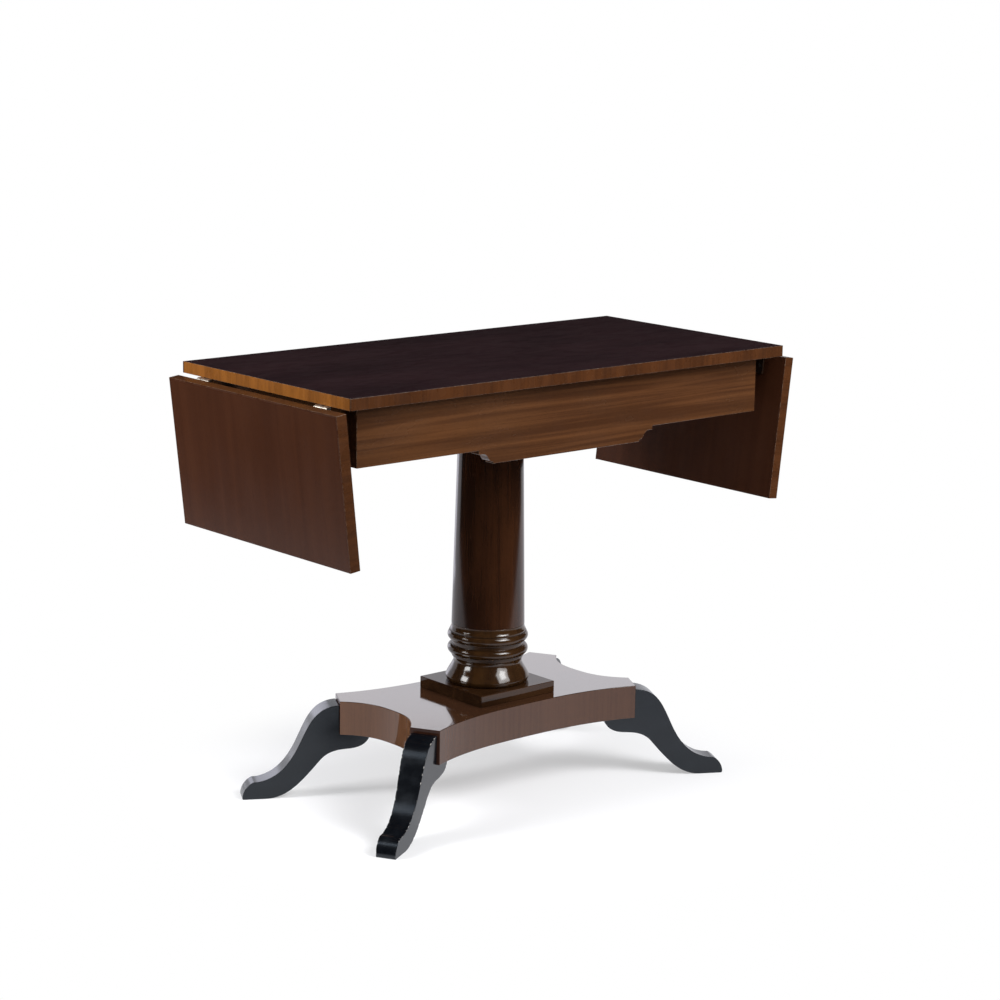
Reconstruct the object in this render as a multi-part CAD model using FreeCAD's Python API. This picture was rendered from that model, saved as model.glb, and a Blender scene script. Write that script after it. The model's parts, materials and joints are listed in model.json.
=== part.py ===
import FreeCAD, Part
import math
import os
from FreeCAD import Vector

# Pedestal sofa table with a drop leaf at each end. Millimetres, +Z up, +X along the length to the
# right, +Y to the back. The origin is on the floor under the column's axis. The leaves hang at rest.

# Top and leaves
table_height = 760.0
top_length = 950.0
top_depth = 450.0
board_thick = 19.0
edge_band = 3.0
leaf_length = 250.0
leaf_gap = 1.0

# Frame under the top
apron_height = 97.5
apron_thick = 20.0
overhang_front = 30.0
overhang_end = 35.0
drop_height = 24.0
drop_half_width = 162.0
drop_lip = 3.0
drop_ledge_step = 6.5
drop_ledge = 8.5
drop_curve_run = 22.0
drop_curve_swell = 1.9
housing_depth = 8.0
bearer_thick = 40.0
bearer_width = 170.0
cross_rail_width = 22.0
cross_rail_place = 270.0
corner_block_leg = 42.0
corner_block_height = 70.0
top_screw_inset = 44.0
bearer_screw_spacing = 120.0

# Column, turned on the Z axis
column_top_radius = 54.3
column_foot_radius = 63.2
base_height = 102.0
ring_radius = 69.6
ring_root_radius = 64.5
ring_height = 15.3
ring_fillet_height = 1.6
ring_band_radius = 62.1
ring_band_height = 6.6
fillet_radius = 65.5
fillet_height = 3.1
flare_height = 10.5
flare_hollow = 1.0
cove_height = 9.5
cove_hollow = 1.2
cove_head_radius = 61.8
cove_head_height = 4.5
bulb_radius = 72.2
bulb_top_radius = 59.4
bulb_turn_share = 0.55
bulb_swell = 1.0
bulb_foot_radius = 67.5
bulb_foot_height = 9.5
spigot_radius = 26.0
spigot_length = 12.0
foot_spigot_length = 30.0
base_spigot_depth = 15.0
spigot_clearance = 0.1

# Plinth and platform
plinth_side = 165.0
plinth_thick = 20.0
platform_top = 170.0
platform_thick = 59.0
cant_outer_x = 248.0
cant_outer_y = 95.0
cant_width = 53.0
cant_angle = 29.0
side_hollow_front = 33.5
side_hollow_end = 38.0
side_hollow_power = 2.7
side_hollow_points = 9

# Tie rod through the column
rod_radius = 6.0
rod_bore_clearance = 0.5
washer_radius = 15.0
washer_thick = 2.5
nut_across_flats = 19.0
nut_height = 10.0
rod_tail = 4.0
nut_pocket_clearance = 2.0

# Legs, in their own plane: distance out from the canted corner, and height. The two shapes give the
# turns of the S-curves as shares of the reach and of the height at the leg's top or its tongue.
leg_reach = 166.0
leg_below_top = 8.0
leg_top_thick = 45.0
leg_toe_thick = 34.0
leg_tongue_length = 54.0
leg_tongue_depth = 27.5
leg_sole_length = 42.0
leg_toe_height = 30.5
leg_toe_run = 19.0
leg_toe_bulge = 5.5
leg_upper_shape = [(0.193, 0.941), (0.343, 0.741), (0.482, 0.457), (0.675, 0.250)]
leg_lower_shape = [(0.518, 0.144), (0.361, 0.413), (0.241, 0.677), (0.145, 0.874), (0.0, 0.985)]
leg_tongue_shape = [(0.36, 0.015), (0.80, 0.30)]
dowel_radius = 4.0
dowel_length = 36.0
dowel_spacing = 22.0
leg_screw_clear = 8.0
leg_screw_spacing = 14.0
leg_screw_sink = 10.0

# Hinges: the pin lies below the joint, a little outside the top's end
pin_out = 3.5
pin_radius = 2.0
pin_clearance = 0.05
knuckle_radius = 4.4
knuckle_clearance = 0.4
hinge_width = 33.0
hinge_from_edge = 67.0
knuckle_count = 3
flap_length = 28.0
flap_thick = 2.0
flap_screw_spacing = 18.0

# Wood screws
small_screw_head = 3.4
small_screw_shank = 1.75
small_screw_length = 13.0
top_screw_head = 4.6
top_screw_shank = 2.25
top_screw_length = 52.0
leg_screw_head = 5.0
leg_screw_shank = 2.5
leg_screw_length = 48.0
screw_tip = 3.0

# Folding stays that hold the leaves up
stay_arm_thick = 2.5
stay_arm_half_width = 5.5
stay_plate_thick = 2.0
stay_plate_width = 30.0
stay_plate_length = 42.0
stay_screw_spacing = 28.0
stay_screw_side = 8.0
stay_side_gap = 0.3
stay_ear_thick = 2.0
stay_stud_radius = 2.5
stay_hole_overrun = 1.0
stay_rail_pivot_off = 9.2
stay_rail_pivot_drop = 64.8
stay_leaf_pivot_out = 72.0
stay_leaf_pivot_off = 9.0
stay_lower_share = 0.4756
stay_slack = 1.01
rivet_head_radius = 4.2
rivet_head_height = 1.2

# Heights and places that follow from the sizes above
underside = table_height - board_thick
frame_bottom = underside - apron_height
apron_front_face = top_depth / 2 - overhang_front
rail_end_face = top_length / 2 - overhang_end
inner_face_y = apron_front_face - apron_thick
bearer_bottom = underside - bearer_thick
bearer_half_length = inner_face_y + housing_depth
plinth_top = platform_top + plinth_thick
platform_bottom = platform_top - platform_thick
base_top = plinth_top + base_height
leg_rise = platform_top - leg_below_top
pin_x = top_length / 2 + pin_out
pin_drop = knuckle_radius + knuckle_clearance
pin_z = underside - pin_drop
hinge_y = top_depth / 2 - hinge_from_edge
cant_run_x = cant_width * math.sin(math.radians(cant_angle))
cant_run_y = cant_width * math.cos(math.radians(cant_angle))
cant_inner_x = cant_outer_x - cant_run_x
cant_inner_y = cant_outer_y + cant_run_y
rod_bore_radius = rod_radius + rod_bore_clearance
nut_pocket_radius = washer_radius + nut_pocket_clearance
nut_pocket_depth = washer_thick + nut_height + rod_tail + nut_pocket_clearance
small_screw = (small_screw_head, small_screw_shank, small_screw_length)
top_screw = (top_screw_head, top_screw_shank, top_screw_length)
leg_screw = (leg_screw_head, leg_screw_shank, leg_screw_length)

# A leaf hangs with its middle under the pin, so it leans in by this angle
leaf_lean = math.degrees(math.atan2(pin_drop + board_thick / 2, leaf_length / 2 + leaf_gap - pin_out))
leaf_raise = 90 + leaf_lean

pin_point = Vector(pin_x, 0, pin_z)
across = Vector(0, 1, 0)
upward = Vector(0, 0, 1)
centre = Vector(0, 0, 0)


# Basic shapes

def box(x0, x1, y0, y1, z0, z1):
    return Part.makeBox(x1 - x0, y1 - y0, z1 - z0, Vector(x0, y0, z0))


def rod(radius, start, end):
    along = end - start
    return Part.makeCylinder(radius, along.Length, start, along)


def face_of(path):
    """A flat face inside a closed path: each step is a point, or an arc's middle and end points."""
    edges = []
    here = path[0]
    for step in path[1:] + [path[0]]:
        if isinstance(step, tuple):
            edges.append(Part.Arc(here, step[0], step[1]).toShape())
            here = step[1]
        else:
            edges.append(Part.LineSegment(here, step).toShape())
            here = step
    return Part.Face(Part.Wire(edges))


def bowed(start, end, bow):
    """An arc's middle and end: seen from -Y, it bows to the right of the way from start to end."""
    way = (end - start).normalize()
    return (start + end) * 0.5 + across.cross(way) * bow, end


def turned(path):
    """A solid of revolution about Z from a closed path in the XZ plane."""
    return face_of(path).revolve(centre, upward, 360)


def curve_through(points, first_way, last_way):
    curve = Part.BSplineCurve()
    curve.interpolate(Points=points, InitialTangent=first_way, FinalTangent=last_way)
    return curve.toShape()


def turned_about_z(shape, angle):
    copy = shape.copy()
    copy.rotate(centre, upward, angle)
    return copy


def mirrored(shape, normal):
    return shape.mirror(centre, normal)


def group(solids):
    return Part.makeCompound(solids)


def without(shape, cutters):
    for cutter in cutters:
        shape = shape.cut(cutter)
    return shape


# Fasteners

def wood_screw(size, head_centre, along):
    """A countersunk screw: a flat head with a cone under it, a shank and a pointed tip."""
    head_radius, shank_radius, length = size
    cone = head_radius - shank_radius
    path = [
        Vector(0, 0, 0),
        Vector(head_radius, 0, 0),
        Vector(shank_radius, 0, cone),
        Vector(shank_radius, 0, length - screw_tip),
        Vector(0, 0, length),
    ]
    screw = turned(path)
    screw.Placement = FreeCAD.Placement(head_centre, FreeCAD.Rotation(upward, along))
    return screw


# Top and leaf boards

def banded_board(x0, x1, z0, z1):
    """A board with its front, back, inner and outer edge bands."""
    half = top_depth / 2
    return {
        "board": box(x0 + edge_band, x1 - edge_band, edge_band - half, half - edge_band, z0, z1),
        "edge_front": box(x0, x1, -half, edge_band - half, z0, z1),
        "edge_back": box(x0, x1, half - edge_band, half, z0, z1),
        "edge_low_x": box(x0, x0 + edge_band, edge_band - half, half - edge_band, z0, z1),
        "edge_high_x": box(x1 - edge_band, x1, edge_band - half, half - edge_band, z0, z1),
    }


def top_pieces():
    half = top_length / 2
    return banded_board(-half, half, underside, table_height)


def leaf_pieces():
    """The right leaf, raised level with the top."""
    start = top_length / 2 + leaf_gap
    return banded_board(start, start + leaf_length, underside, table_height)


# Hinges, with the right leaf raised

def knuckle_span(index):
    """Where one knuckle starts and ends along the pin, with a running gap to the next."""
    pitch = hinge_width / knuckle_count
    start = -hinge_width / 2 + index * pitch
    return start + knuckle_clearance / 2, start + pitch - knuckle_clearance / 2


def hinge_flap(way, first, y):
    """One flap: way is -1 for the top's and 1 for the leaf's, with every second knuckle from first."""
    near = way * (knuckle_radius + knuckle_clearance)
    far = way * (knuckle_radius + knuckle_clearance + flap_length)
    x0, x1 = sorted((pin_x + near, pin_x + far))
    flap = box(x0, x1, y - hinge_width / 2, y + hinge_width / 2, underside - flap_thick, underside)
    for index in range(first, knuckle_count, 2):
        y0, y1 = knuckle_span(index)
        knuckle = rod(knuckle_radius, pin_point + across * (y + y0), pin_point + across * (y + y1))
        x0, x1 = sorted((pin_x, pin_x + near))
        bridge_top = pin_z + knuckle_radius
        bridge = box(x0, x1, y + y0, y + y1, underside - flap_thick, bridge_top)
        flap = flap.fuse(knuckle).fuse(bridge)
    bore_reach = across * hinge_width
    middle = pin_point + across * y
    bore = rod(pin_radius + pin_clearance, middle - bore_reach, middle + bore_reach)
    return flap.cut(bore).removeSplitter()


def hinge_pin(y):
    half = across * (hinge_width / 2)
    middle = pin_point + across * y
    return rod(pin_radius, middle - half, middle + half)


def flap_screws(way, y):
    """Two screws up through a flap, half way along it."""
    x = pin_x + way * (knuckle_radius + knuckle_clearance + flap_length / 2)
    z = underside - flap_thick
    places = [y - flap_screw_spacing / 2, y + flap_screw_spacing / 2]
    return [wood_screw(small_screw, Vector(x, place, z), upward) for place in places]


# Folding stay, with the right leaf raised; its arms lie in planes side by side across Y

stay_rail_pivot = Vector(rail_end_face + stay_rail_pivot_off, 0, underside - stay_rail_pivot_drop)
stay_leaf_pivot = Vector(pin_x + stay_leaf_pivot_out, 0, underside - stay_leaf_pivot_off)
stay_reach = (stay_leaf_pivot - stay_rail_pivot).Length * stay_slack
lower_arm_length = stay_reach * stay_lower_share
upper_arm_length = stay_reach - lower_arm_length


def swing(point, angle):
    """A point turned about the right leaf's pin; a positive angle lowers the leaf."""
    return FreeCAD.Rotation(across, angle).multVec(point - pin_point) + pin_point


def knee_of(rail_pivot, leaf_pivot):
    """Where the two arms meet, on the upper side of the line between their pivots."""
    line = leaf_pivot - rail_pivot
    span = line.Length
    foot = (lower_arm_length ** 2 - upper_arm_length ** 2 + span ** 2) / (2 * span)
    rise = math.sqrt(lower_arm_length ** 2 - foot ** 2)
    along = line * (1 / span)
    return rail_pivot + along * foot + along.cross(across) * rise


def angle_of(way):
    """The turn about Y that takes +X to this direction in the XZ plane."""
    return math.degrees(math.atan2(-way.z, way.x))


def stay_arm(start, end, y0, y1, rivet_y):
    """A flat bar with round ends, a pivot hole at its start and a rivet head at its knee."""
    along = (end - start).normalize()
    side = along.cross(across) * stay_arm_half_width
    path = [start + side, (start - along * stay_arm_half_width, start - side), end - side,
            (end + along * stay_arm_half_width, end + side)]
    arm = face_of(path).extrude(across * (y1 - y0))
    arm.translate(across * y0)
    hole_from = start + across * (y0 - stay_hole_overrun)
    hole_to = start + across * (y1 + stay_hole_overrun)
    hole = rod(stay_stud_radius + pin_clearance, hole_from, hole_to)
    head_from = end + across * rivet_y
    head = rod(rivet_head_radius, head_from, head_from + across * math.copysign(rivet_head_height, rivet_y))
    return arm.cut(hole).fuse(head).removeSplitter()


def arm_layer(way):
    """The two faces of an arm across Y: the lower arm lies on +Y and the upper arm on -Y."""
    inner = way * stay_side_gap / 2
    return inner, inner + way * stay_arm_thick


def stay_plate(pivot, seat_point, seat_normal, way):
    """A screwed plate with an ear beside its arm and a stud that the arm turns on."""
    along = seat_normal.cross(across)
    seat = pivot + seat_normal * seat_normal.dot(seat_point - pivot)
    inner, outer = arm_layer(way)
    ear_from = outer + way * stay_side_gap
    ear_to = ear_from + way * stay_ear_thick
    half = along * (stay_plate_length / 2)
    plate = face_of([seat - half, seat + half, seat + half + seat_normal * stay_plate_thick,
                     seat - half + seat_normal * stay_plate_thick])
    plate = plate.extrude(across * stay_plate_width)
    plate.translate(across * (-stay_plate_width / 2))
    side = along * stay_arm_half_width
    ear = face_of([seat - side, pivot - side, (pivot + seat_normal * stay_arm_half_width, pivot + side),
                   seat + side])
    ear = ear.extrude(across * (ear_to - ear_from))
    ear.translate(across * ear_from)
    stud = rod(stay_stud_radius, pivot + across * ear_to, pivot + across * inner)
    return plate.fuse(ear).fuse(stud).removeSplitter()


def stay_plate_screws(pivot, seat_point, seat_normal, way):
    """Two screws through a stay plate, clear of its ear."""
    along = seat_normal.cross(across)
    seat = pivot + seat_normal * seat_normal.dot(seat_point - pivot)
    head = seat + seat_normal * stay_plate_thick - across * (way * stay_screw_side)
    places = [head - along * (stay_screw_spacing / 2), head + along * (stay_screw_spacing / 2)]
    return [wood_screw(small_screw, place, seat_normal * -1) for place in places]


# Frame under the top

def apron_front():
    """The front apron: a board whose lower edge drops in the middle with a step, an ogee and a lip."""
    y = -apron_front_face
    low = frame_bottom - drop_height
    ledge = frame_bottom - drop_ledge_step
    curve_start_x = drop_half_width + drop_curve_run
    curve_end = low + drop_lip
    right_low = Vector(drop_half_width, y, curve_end)
    right_high = Vector(curve_start_x, y, ledge)
    middle = (right_low + right_high) * 0.5
    right = [
        Vector(drop_half_width, y, low),
        right_low,
        bowed(right_low, middle, drop_curve_swell),
        bowed(middle, right_high, -drop_curve_swell),
        Vector(curve_start_x + drop_ledge, y, ledge),
        Vector(curve_start_x + drop_ledge, y, frame_bottom),
        Vector(rail_end_face, y, frame_bottom),
        Vector(rail_end_face, y, underside),
    ]
    half_face = face_of([Vector(0, y, low)] + right + [Vector(0, y, underside)])
    half = half_face.extrude(Vector(0, apron_thick, 0))
    return half.fuse(mirrored(half, Vector(1, 0, 0))).removeSplitter()


def end_rail():
    return box(rail_end_face - apron_thick, rail_end_face, -inner_face_y, inner_face_y,
               frame_bottom, underside)


def corner_block():
    """A three-cornered block in the front right corner of the frame."""
    x = rail_end_face - apron_thick
    y = -inner_face_y
    corner = Vector(x, y, underside - corner_block_height)
    face = face_of([corner, corner + Vector(0, corner_block_leg, 0), corner - Vector(corner_block_leg, 0, 0)])
    return face.extrude(Vector(0, 0, corner_block_height))


def corner_blocks():
    block = corner_block()
    row = [block, mirrored(block, Vector(0, 1, 0))]
    return row + [mirrored(piece, Vector(1, 0, 0)) for piece in row]


def column_bearer():
    """The thick cross piece that the column stands into, with a pocket for the rod's nut above."""
    half = bearer_width / 2
    plate = box(-half, half, -bearer_half_length, bearer_half_length, bearer_bottom, underside)
    socket = rod(spigot_radius + spigot_clearance, Vector(0, 0, bearer_bottom),
                 Vector(0, 0, bearer_bottom + spigot_length + spigot_clearance))
    pocket = rod(nut_pocket_radius, Vector(0, 0, underside - nut_pocket_depth), Vector(0, 0, underside))
    bore = rod(rod_bore_radius, Vector(0, 0, bearer_bottom), Vector(0, 0, underside))
    return without(plate, [socket, pocket, bore])


def cross_rail(x):
    half = cross_rail_width / 2
    return box(x - half, x + half, -bearer_half_length, bearer_half_length, bearer_bottom, underside)


def top_screws():
    """Screws up through the bearer and the cross rails into the top."""
    y = inner_face_y - top_screw_inset
    bearer_x = bearer_screw_spacing / 2
    places = [-cross_rail_place, -bearer_x, bearer_x, cross_rail_place]
    return [wood_screw(top_screw, Vector(x, side, bearer_bottom), upward)
            for x in places for side in (-y, y)]


# Column, plinth and tie rod

def spigot_hole(bottom, top):
    return rod(spigot_radius + spigot_clearance, Vector(0, 0, bottom), Vector(0, 0, top))


def rod_bore(bottom, top):
    return rod(rod_bore_radius, Vector(0, 0, bottom), Vector(0, 0, top))


def column_shaft():
    """The tapered shaft, with a spigot at each end and a bore for the rod."""
    low = base_top - foot_spigot_length
    high = bearer_bottom + spigot_length
    path = [
        Vector(rod_bore_radius, 0, low),
        Vector(spigot_radius, 0, low),
        Vector(spigot_radius, 0, base_top),
        Vector(column_foot_radius, 0, base_top),
        Vector(column_top_radius, 0, bearer_bottom),
        Vector(spigot_radius, 0, bearer_bottom),
        Vector(spigot_radius, 0, high),
        Vector(rod_bore_radius, 0, high),
    ]
    return turned(path)


def column_base():
    """The turned base: a bulb, a cove, two round rings, and a flare up to the shaft."""
    bulb_z = plinth_top + bulb_foot_height
    fillet_top = base_top - flare_height
    ring_top = fillet_top - fillet_height
    ring_pitch = ring_fillet_height + ring_height
    ring_middle = ring_top - ring_pitch
    ring_bottom = ring_middle - ring_band_height - ring_pitch
    cove_top = ring_bottom - cove_head_height
    cove_bottom = cove_top - cove_height
    low = platform_top - base_spigot_depth

    def point(radius, z):
        return Vector(radius, 0, z)

    def ring(z):
        """A ring above height z: a small fillet and a round bead on it."""
        bead_bottom = point(ring_root_radius, z + ring_fillet_height)
        bead_top = point(ring_root_radius, z + ring_pitch)
        return [point(ring_root_radius, z), bead_bottom,
                bowed(bead_bottom, bead_top, ring_radius - ring_root_radius)]

    # The bulb's foot rounds in on an arc that is upright at the bulb's widest
    foot_in = bulb_radius - bulb_foot_radius
    foot_arc = (bulb_foot_height ** 2 + foot_in ** 2) / (2 * foot_in)
    foot_turn = math.asin(bulb_foot_height / foot_arc) / 2
    foot_way = point(bulb_radius - foot_arc * (1 - math.cos(foot_turn)),
                     bulb_z - foot_arc * math.sin(foot_turn))
    # Above its widest the bulb is a smooth S-curve, full below and hollow above
    belly = point(bulb_radius, bulb_z)
    bulb_top = point(bulb_top_radius, cove_bottom)
    bulb_turn = belly + (bulb_top - belly) * bulb_turn_share
    bulb_hollow = bulb_swell * (1 - bulb_turn_share) / bulb_turn_share
    cove_head = point(cove_head_radius, cove_top)
    flare_foot = point(fillet_radius, fillet_top)
    path = [
        point(rod_bore_radius, low),
        point(spigot_radius, low),
        point(spigot_radius, plinth_top),
        point(bulb_foot_radius, plinth_top),
        (foot_way, belly),
        bowed(belly, bulb_turn, bulb_swell),
        bowed(bulb_turn, bulb_top, -bulb_hollow),
        bowed(bulb_top, cove_head, -cove_hollow),
        point(cove_head_radius, ring_bottom),
        *ring(ring_bottom),
        point(ring_band_radius, ring_bottom + ring_pitch),
        point(ring_band_radius, ring_middle),
        *ring(ring_middle),
        point(fillet_radius, ring_top),
        flare_foot,
        bowed(flare_foot, point(column_foot_radius, base_top), -flare_hollow),
        point(rod_bore_radius, base_top),
    ]
    shaft_socket = spigot_hole(base_top - foot_spigot_length - spigot_clearance, base_top)
    return turned(path).cut(shaft_socket)


def plinth_block():
    half = plinth_side / 2
    block = box(-half, half, -half, half, platform_top, plinth_top)
    return block.cut(spigot_hole(platform_top, plinth_top))


def tie_rod():
    return rod(rod_radius, Vector(0, 0, platform_bottom + nut_pocket_clearance),
               Vector(0, 0, underside - nut_pocket_clearance))


def washer(z):
    ring = rod(washer_radius, Vector(0, 0, z), Vector(0, 0, z + washer_thick))
    return ring.cut(rod(rod_radius, Vector(0, 0, z), Vector(0, 0, z + washer_thick)))


def hex_nut(z):
    corner = nut_across_flats / math.sqrt(3)
    corners = [Vector(corner * math.cos(turn), corner * math.sin(turn), z)
               for turn in (math.radians(60 * index) for index in range(6))]
    nut = face_of(corners).extrude(Vector(0, 0, nut_height))
    return nut.cut(rod(rod_radius, Vector(0, 0, z), Vector(0, 0, z + nut_height)))


def rod_washers():
    lower = platform_bottom + nut_pocket_depth - washer_thick
    upper = underside - nut_pocket_depth
    return [washer(lower), washer(upper)]


def rod_nuts():
    lower = platform_bottom + nut_pocket_depth - washer_thick - nut_height
    upper = underside - nut_pocket_depth + washer_thick
    return [hex_nut(lower), hex_nut(upper)]


# Platform

def hollow_edge(start, end, depth, inward, z):
    """A side that bows inward: its depth falls off as a power of the distance from its middle."""
    points = []
    for index in range(side_hollow_points):
        share = index / (side_hollow_points - 1)
        bow = depth * (1 - abs(2 * share - 1) ** side_hollow_power)
        points.append(start + (end - start) * share + inward * bow + Vector(0, 0, z))
    curve = Part.BSplineCurve()
    curve.interpolate(points)
    return curve.toShape()


def platform_block():
    """The platform: four hollow sides between four canted corners."""
    x0, y0 = cant_outer_x, cant_outer_y
    x1, y1 = cant_inner_x, cant_inner_y
    z = platform_bottom
    corners = [Vector(-x1, -y1, 0), Vector(x1, -y1, 0), Vector(x0, -y0, 0), Vector(x0, y0, 0),
               Vector(x1, y1, 0), Vector(-x1, y1, 0), Vector(-x0, y0, 0), Vector(-x0, -y0, 0)]
    raised = Vector(0, 0, z)
    edges = []
    sides = [(side_hollow_front, Vector(0, 1, 0)), (side_hollow_end, Vector(-1, 0, 0)),
             (side_hollow_front, Vector(0, -1, 0)), (side_hollow_end, Vector(1, 0, 0))]
    for index, (depth, inward) in enumerate(sides):
        start = corners[2 * index]
        end = corners[2 * index + 1]
        cant_end = corners[(2 * index + 2) % len(corners)]
        edges.append(hollow_edge(start, end, depth, inward, z))
        edges.append(Part.LineSegment(end + raised, cant_end + raised).toShape())
    block = Part.Face(Part.Wire(edges)).extrude(Vector(0, 0, platform_thick))
    base_spigot_bottom = platform_top - base_spigot_depth - spigot_clearance
    pocket = rod(nut_pocket_radius, Vector(0, 0, z), Vector(0, 0, z + nut_pocket_depth))
    return without(block, [spigot_hole(base_spigot_bottom, platform_top), rod_bore(z, platform_top), pocket])


# Legs

leg_way = Vector(math.cos(math.radians(cant_angle)), math.sin(math.radians(cant_angle)), 0)
leg_side = Vector(-leg_way.y, leg_way.x, 0)
cant_middle = Vector((cant_outer_x + cant_inner_x) / 2, (cant_outer_y + cant_inner_y) / 2, 0)


def leg_point(out, height):
    """A point in the back right leg's middle plane."""
    return cant_middle + leg_way * out + Vector(0, 0, height)


def leg_outline():
    """The scroll leg's outline: two S-curves, a rounded toe, a flat sole and a tongue under the platform."""
    tongue_z = platform_bottom - leg_tongue_depth
    instep = leg_reach - leg_toe_run
    upper = [leg_point(0, leg_rise)]
    upper += [leg_point(leg_reach * out, leg_rise * height) for out, height in leg_upper_shape]
    upper += [leg_point(instep, leg_toe_height)]
    toe_end = leg_point(leg_reach, 0)
    toe_line = (toe_end - upper[-1]).normalize()
    toe_way = (upper[-1] + toe_end) * 0.5 + toe_line.cross(leg_side) * leg_toe_bulge
    sole_end = leg_point(leg_reach - leg_sole_length, 0)
    lower = [sole_end]
    lower += [leg_point(leg_reach * out, tongue_z * height) for out, height in leg_lower_shape]
    lower += [leg_point(-leg_tongue_length * back, tongue_z + leg_tongue_depth * rise)
              for back, rise in leg_tongue_shape]
    lower += [leg_point(-leg_tongue_length, platform_bottom)]
    outward = leg_way
    corner = leg_point(0, platform_bottom)
    return Part.Wire([
        curve_through(upper, outward, outward),
        Part.Arc(upper[-1], toe_way, toe_end).toShape(),
        Part.LineSegment(toe_end, sole_end).toShape(),
        curve_through(lower, outward * -1, upward),
        Part.LineSegment(lower[-1], corner).toShape(),
        Part.LineSegment(corner, upper[0]).toShape(),
    ])


def leg():
    """The back right leg: its outline cut from a board that thins from its top to its toe."""
    half_top = leg_side * (leg_top_thick / 2)
    half_toe = leg_side * (leg_toe_thick / 2)
    inner = leg_point(-leg_tongue_length, 0)
    high = upward * leg_rise
    wedge = face_of([inner - half_toe, inner + half_toe, inner + high + half_top, inner + high - half_top])
    wedge = wedge.extrude(leg_way * (leg_tongue_length + leg_reach))
    board = Part.Face(leg_outline()).extrude(leg_side * leg_top_thick)
    board.translate(half_top * -1)
    return board.common(wedge)


def leg_dowels():
    """Two dowels from the leg's top into the canted corner."""
    middle = (platform_bottom + leg_rise) / 2
    heights = [middle - dowel_spacing / 2, middle + dowel_spacing / 2]
    half = leg_way * (dowel_length / 2)
    return [rod(dowel_radius, leg_point(0, z) - half, leg_point(0, z) + half) for z in heights]


def leg_screw_places():
    """Where the heads of a leg's two screws sit, sunk into its tongue and clear of its dowels."""
    height = platform_bottom - leg_tongue_depth + leg_screw_sink
    first = dowel_length / 2 + leg_screw_clear
    return [leg_point(-first, height), leg_point(-first - leg_screw_spacing, height)]


def leg_screws():
    """Two screws up through the tongue into the platform."""
    return [wood_screw(leg_screw, place, upward) for place in leg_screw_places()]


def leg_screw_pockets():
    """The round holes under the screws' heads, open at the tongue's lower face."""
    down = upward * -leg_tongue_depth
    return [rod(leg_screw_head, place + down, place) for place in leg_screw_places()]


def at_corners(solids):
    """Copies of the back right corner's solids at the four corners of the platform."""
    across_x = Vector(1, 0, 0)
    back_left = [mirrored(solid, across_x) for solid in solids]
    front_left = [turned_about_z(solid, 180) for solid in solids]
    front_right = [mirrored(solid, across) for solid in solids]
    return {"back_right": solids, "back_left": back_left,
            "front_left": front_left, "front_right": front_right}


# Assembly

def lowered(shape):
    """A raised right leaf's piece, brought down to where it hangs."""
    copy = shape.copy()
    copy.rotate(pin_point, across, leaf_raise)
    return copy


def add_top_and_frame(parts, hardware_screws):
    rails = {"end_rail_right": end_rail(), "end_rail_left": turned_about_z(end_rail(), 180)}
    bearers = {
        "column_bearer": column_bearer(),
        "cross_rail_right": cross_rail(cross_rail_place),
        "cross_rail_left": cross_rail(-cross_rail_place),
    }
    screws = top_screws()
    apron = without(apron_front(), bearers.values())
    parts["apron_front"] = apron
    parts["apron_back"] = turned_about_z(apron, 180)
    for name, rail in rails.items():
        parts[name] = without(rail, hardware_screws)
    for name, bearer in bearers.items():
        parts[name] = without(bearer, screws)
    parts["corner_blocks"] = group(corner_blocks())
    parts["top_screws"] = group(screws)
    names = {"board": "top_board", "edge_front": "top_edge_front", "edge_back": "top_edge_back",
             "edge_low_x": "top_edge_left", "edge_high_x": "top_edge_right"}
    for key, piece in top_pieces().items():
        parts[names[key]] = without(piece, screws + hardware_screws)


def add_leaves(parts, leaf_screws):
    names = {"board": "board", "edge_front": "edge_front", "edge_back": "edge_back",
             "edge_low_x": "edge_hinge", "edge_high_x": "edge_outer"}
    left_names = dict(names, edge_front="edge_back", edge_back="edge_front")
    for key, piece in leaf_pieces().items():
        hanging = lowered(without(piece, leaf_screws))
        parts["leaf_right_" + names[key]] = hanging
        parts["leaf_left_" + left_names[key]] = turned_about_z(hanging, 180)


def add_hinges(parts, top_flap_screws, leaf_flap_screws):
    pins = []
    for y, right_name, left_name in ((-hinge_y, "front", "back"), (hinge_y, "back", "front")):
        top_flap = without(hinge_flap(-1, 0, y), top_flap_screws)
        leaf_flap = lowered(without(hinge_flap(1, 1, y), leaf_flap_screws))
        parts["hinge_right_" + right_name + "_top_flap"] = top_flap
        parts["hinge_right_" + right_name + "_leaf_flap"] = leaf_flap
        parts["hinge_left_" + left_name + "_top_flap"] = turned_about_z(top_flap, 180)
        parts["hinge_left_" + left_name + "_leaf_flap"] = turned_about_z(leaf_flap, 180)
        pins.append(hinge_pin(y))
    parts["hinge_pins"] = group(pins + [turned_about_z(pin, 180) for pin in pins])


def add_stays(parts, rail_seat, leaf_seat, rail_screws, leaf_screws):
    """Both stays, with the leaves hanging: the leaf's pivot comes down and the knee folds up."""
    hanging_pivot = swing(stay_leaf_pivot, leaf_raise)
    knee = knee_of(stay_rail_pivot, hanging_pivot)
    lower_inner, lower_outer = arm_layer(1)
    upper_inner, upper_outer = arm_layer(-1)
    stay = {
        "rail_plate": without(stay_plate(stay_rail_pivot, *rail_seat), rail_screws),
        "lower_arm": stay_arm(stay_rail_pivot, knee, lower_inner, lower_outer, lower_outer),
        "upper_arm": stay_arm(hanging_pivot, knee, upper_outer, upper_inner, upper_outer),
        "leaf_plate": lowered(without(stay_plate(stay_leaf_pivot, *leaf_seat), leaf_screws)),
    }
    for name, piece in stay.items():
        parts["stay_right_" + name] = piece
        parts["stay_left_" + name] = turned_about_z(piece, 180)


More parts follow.
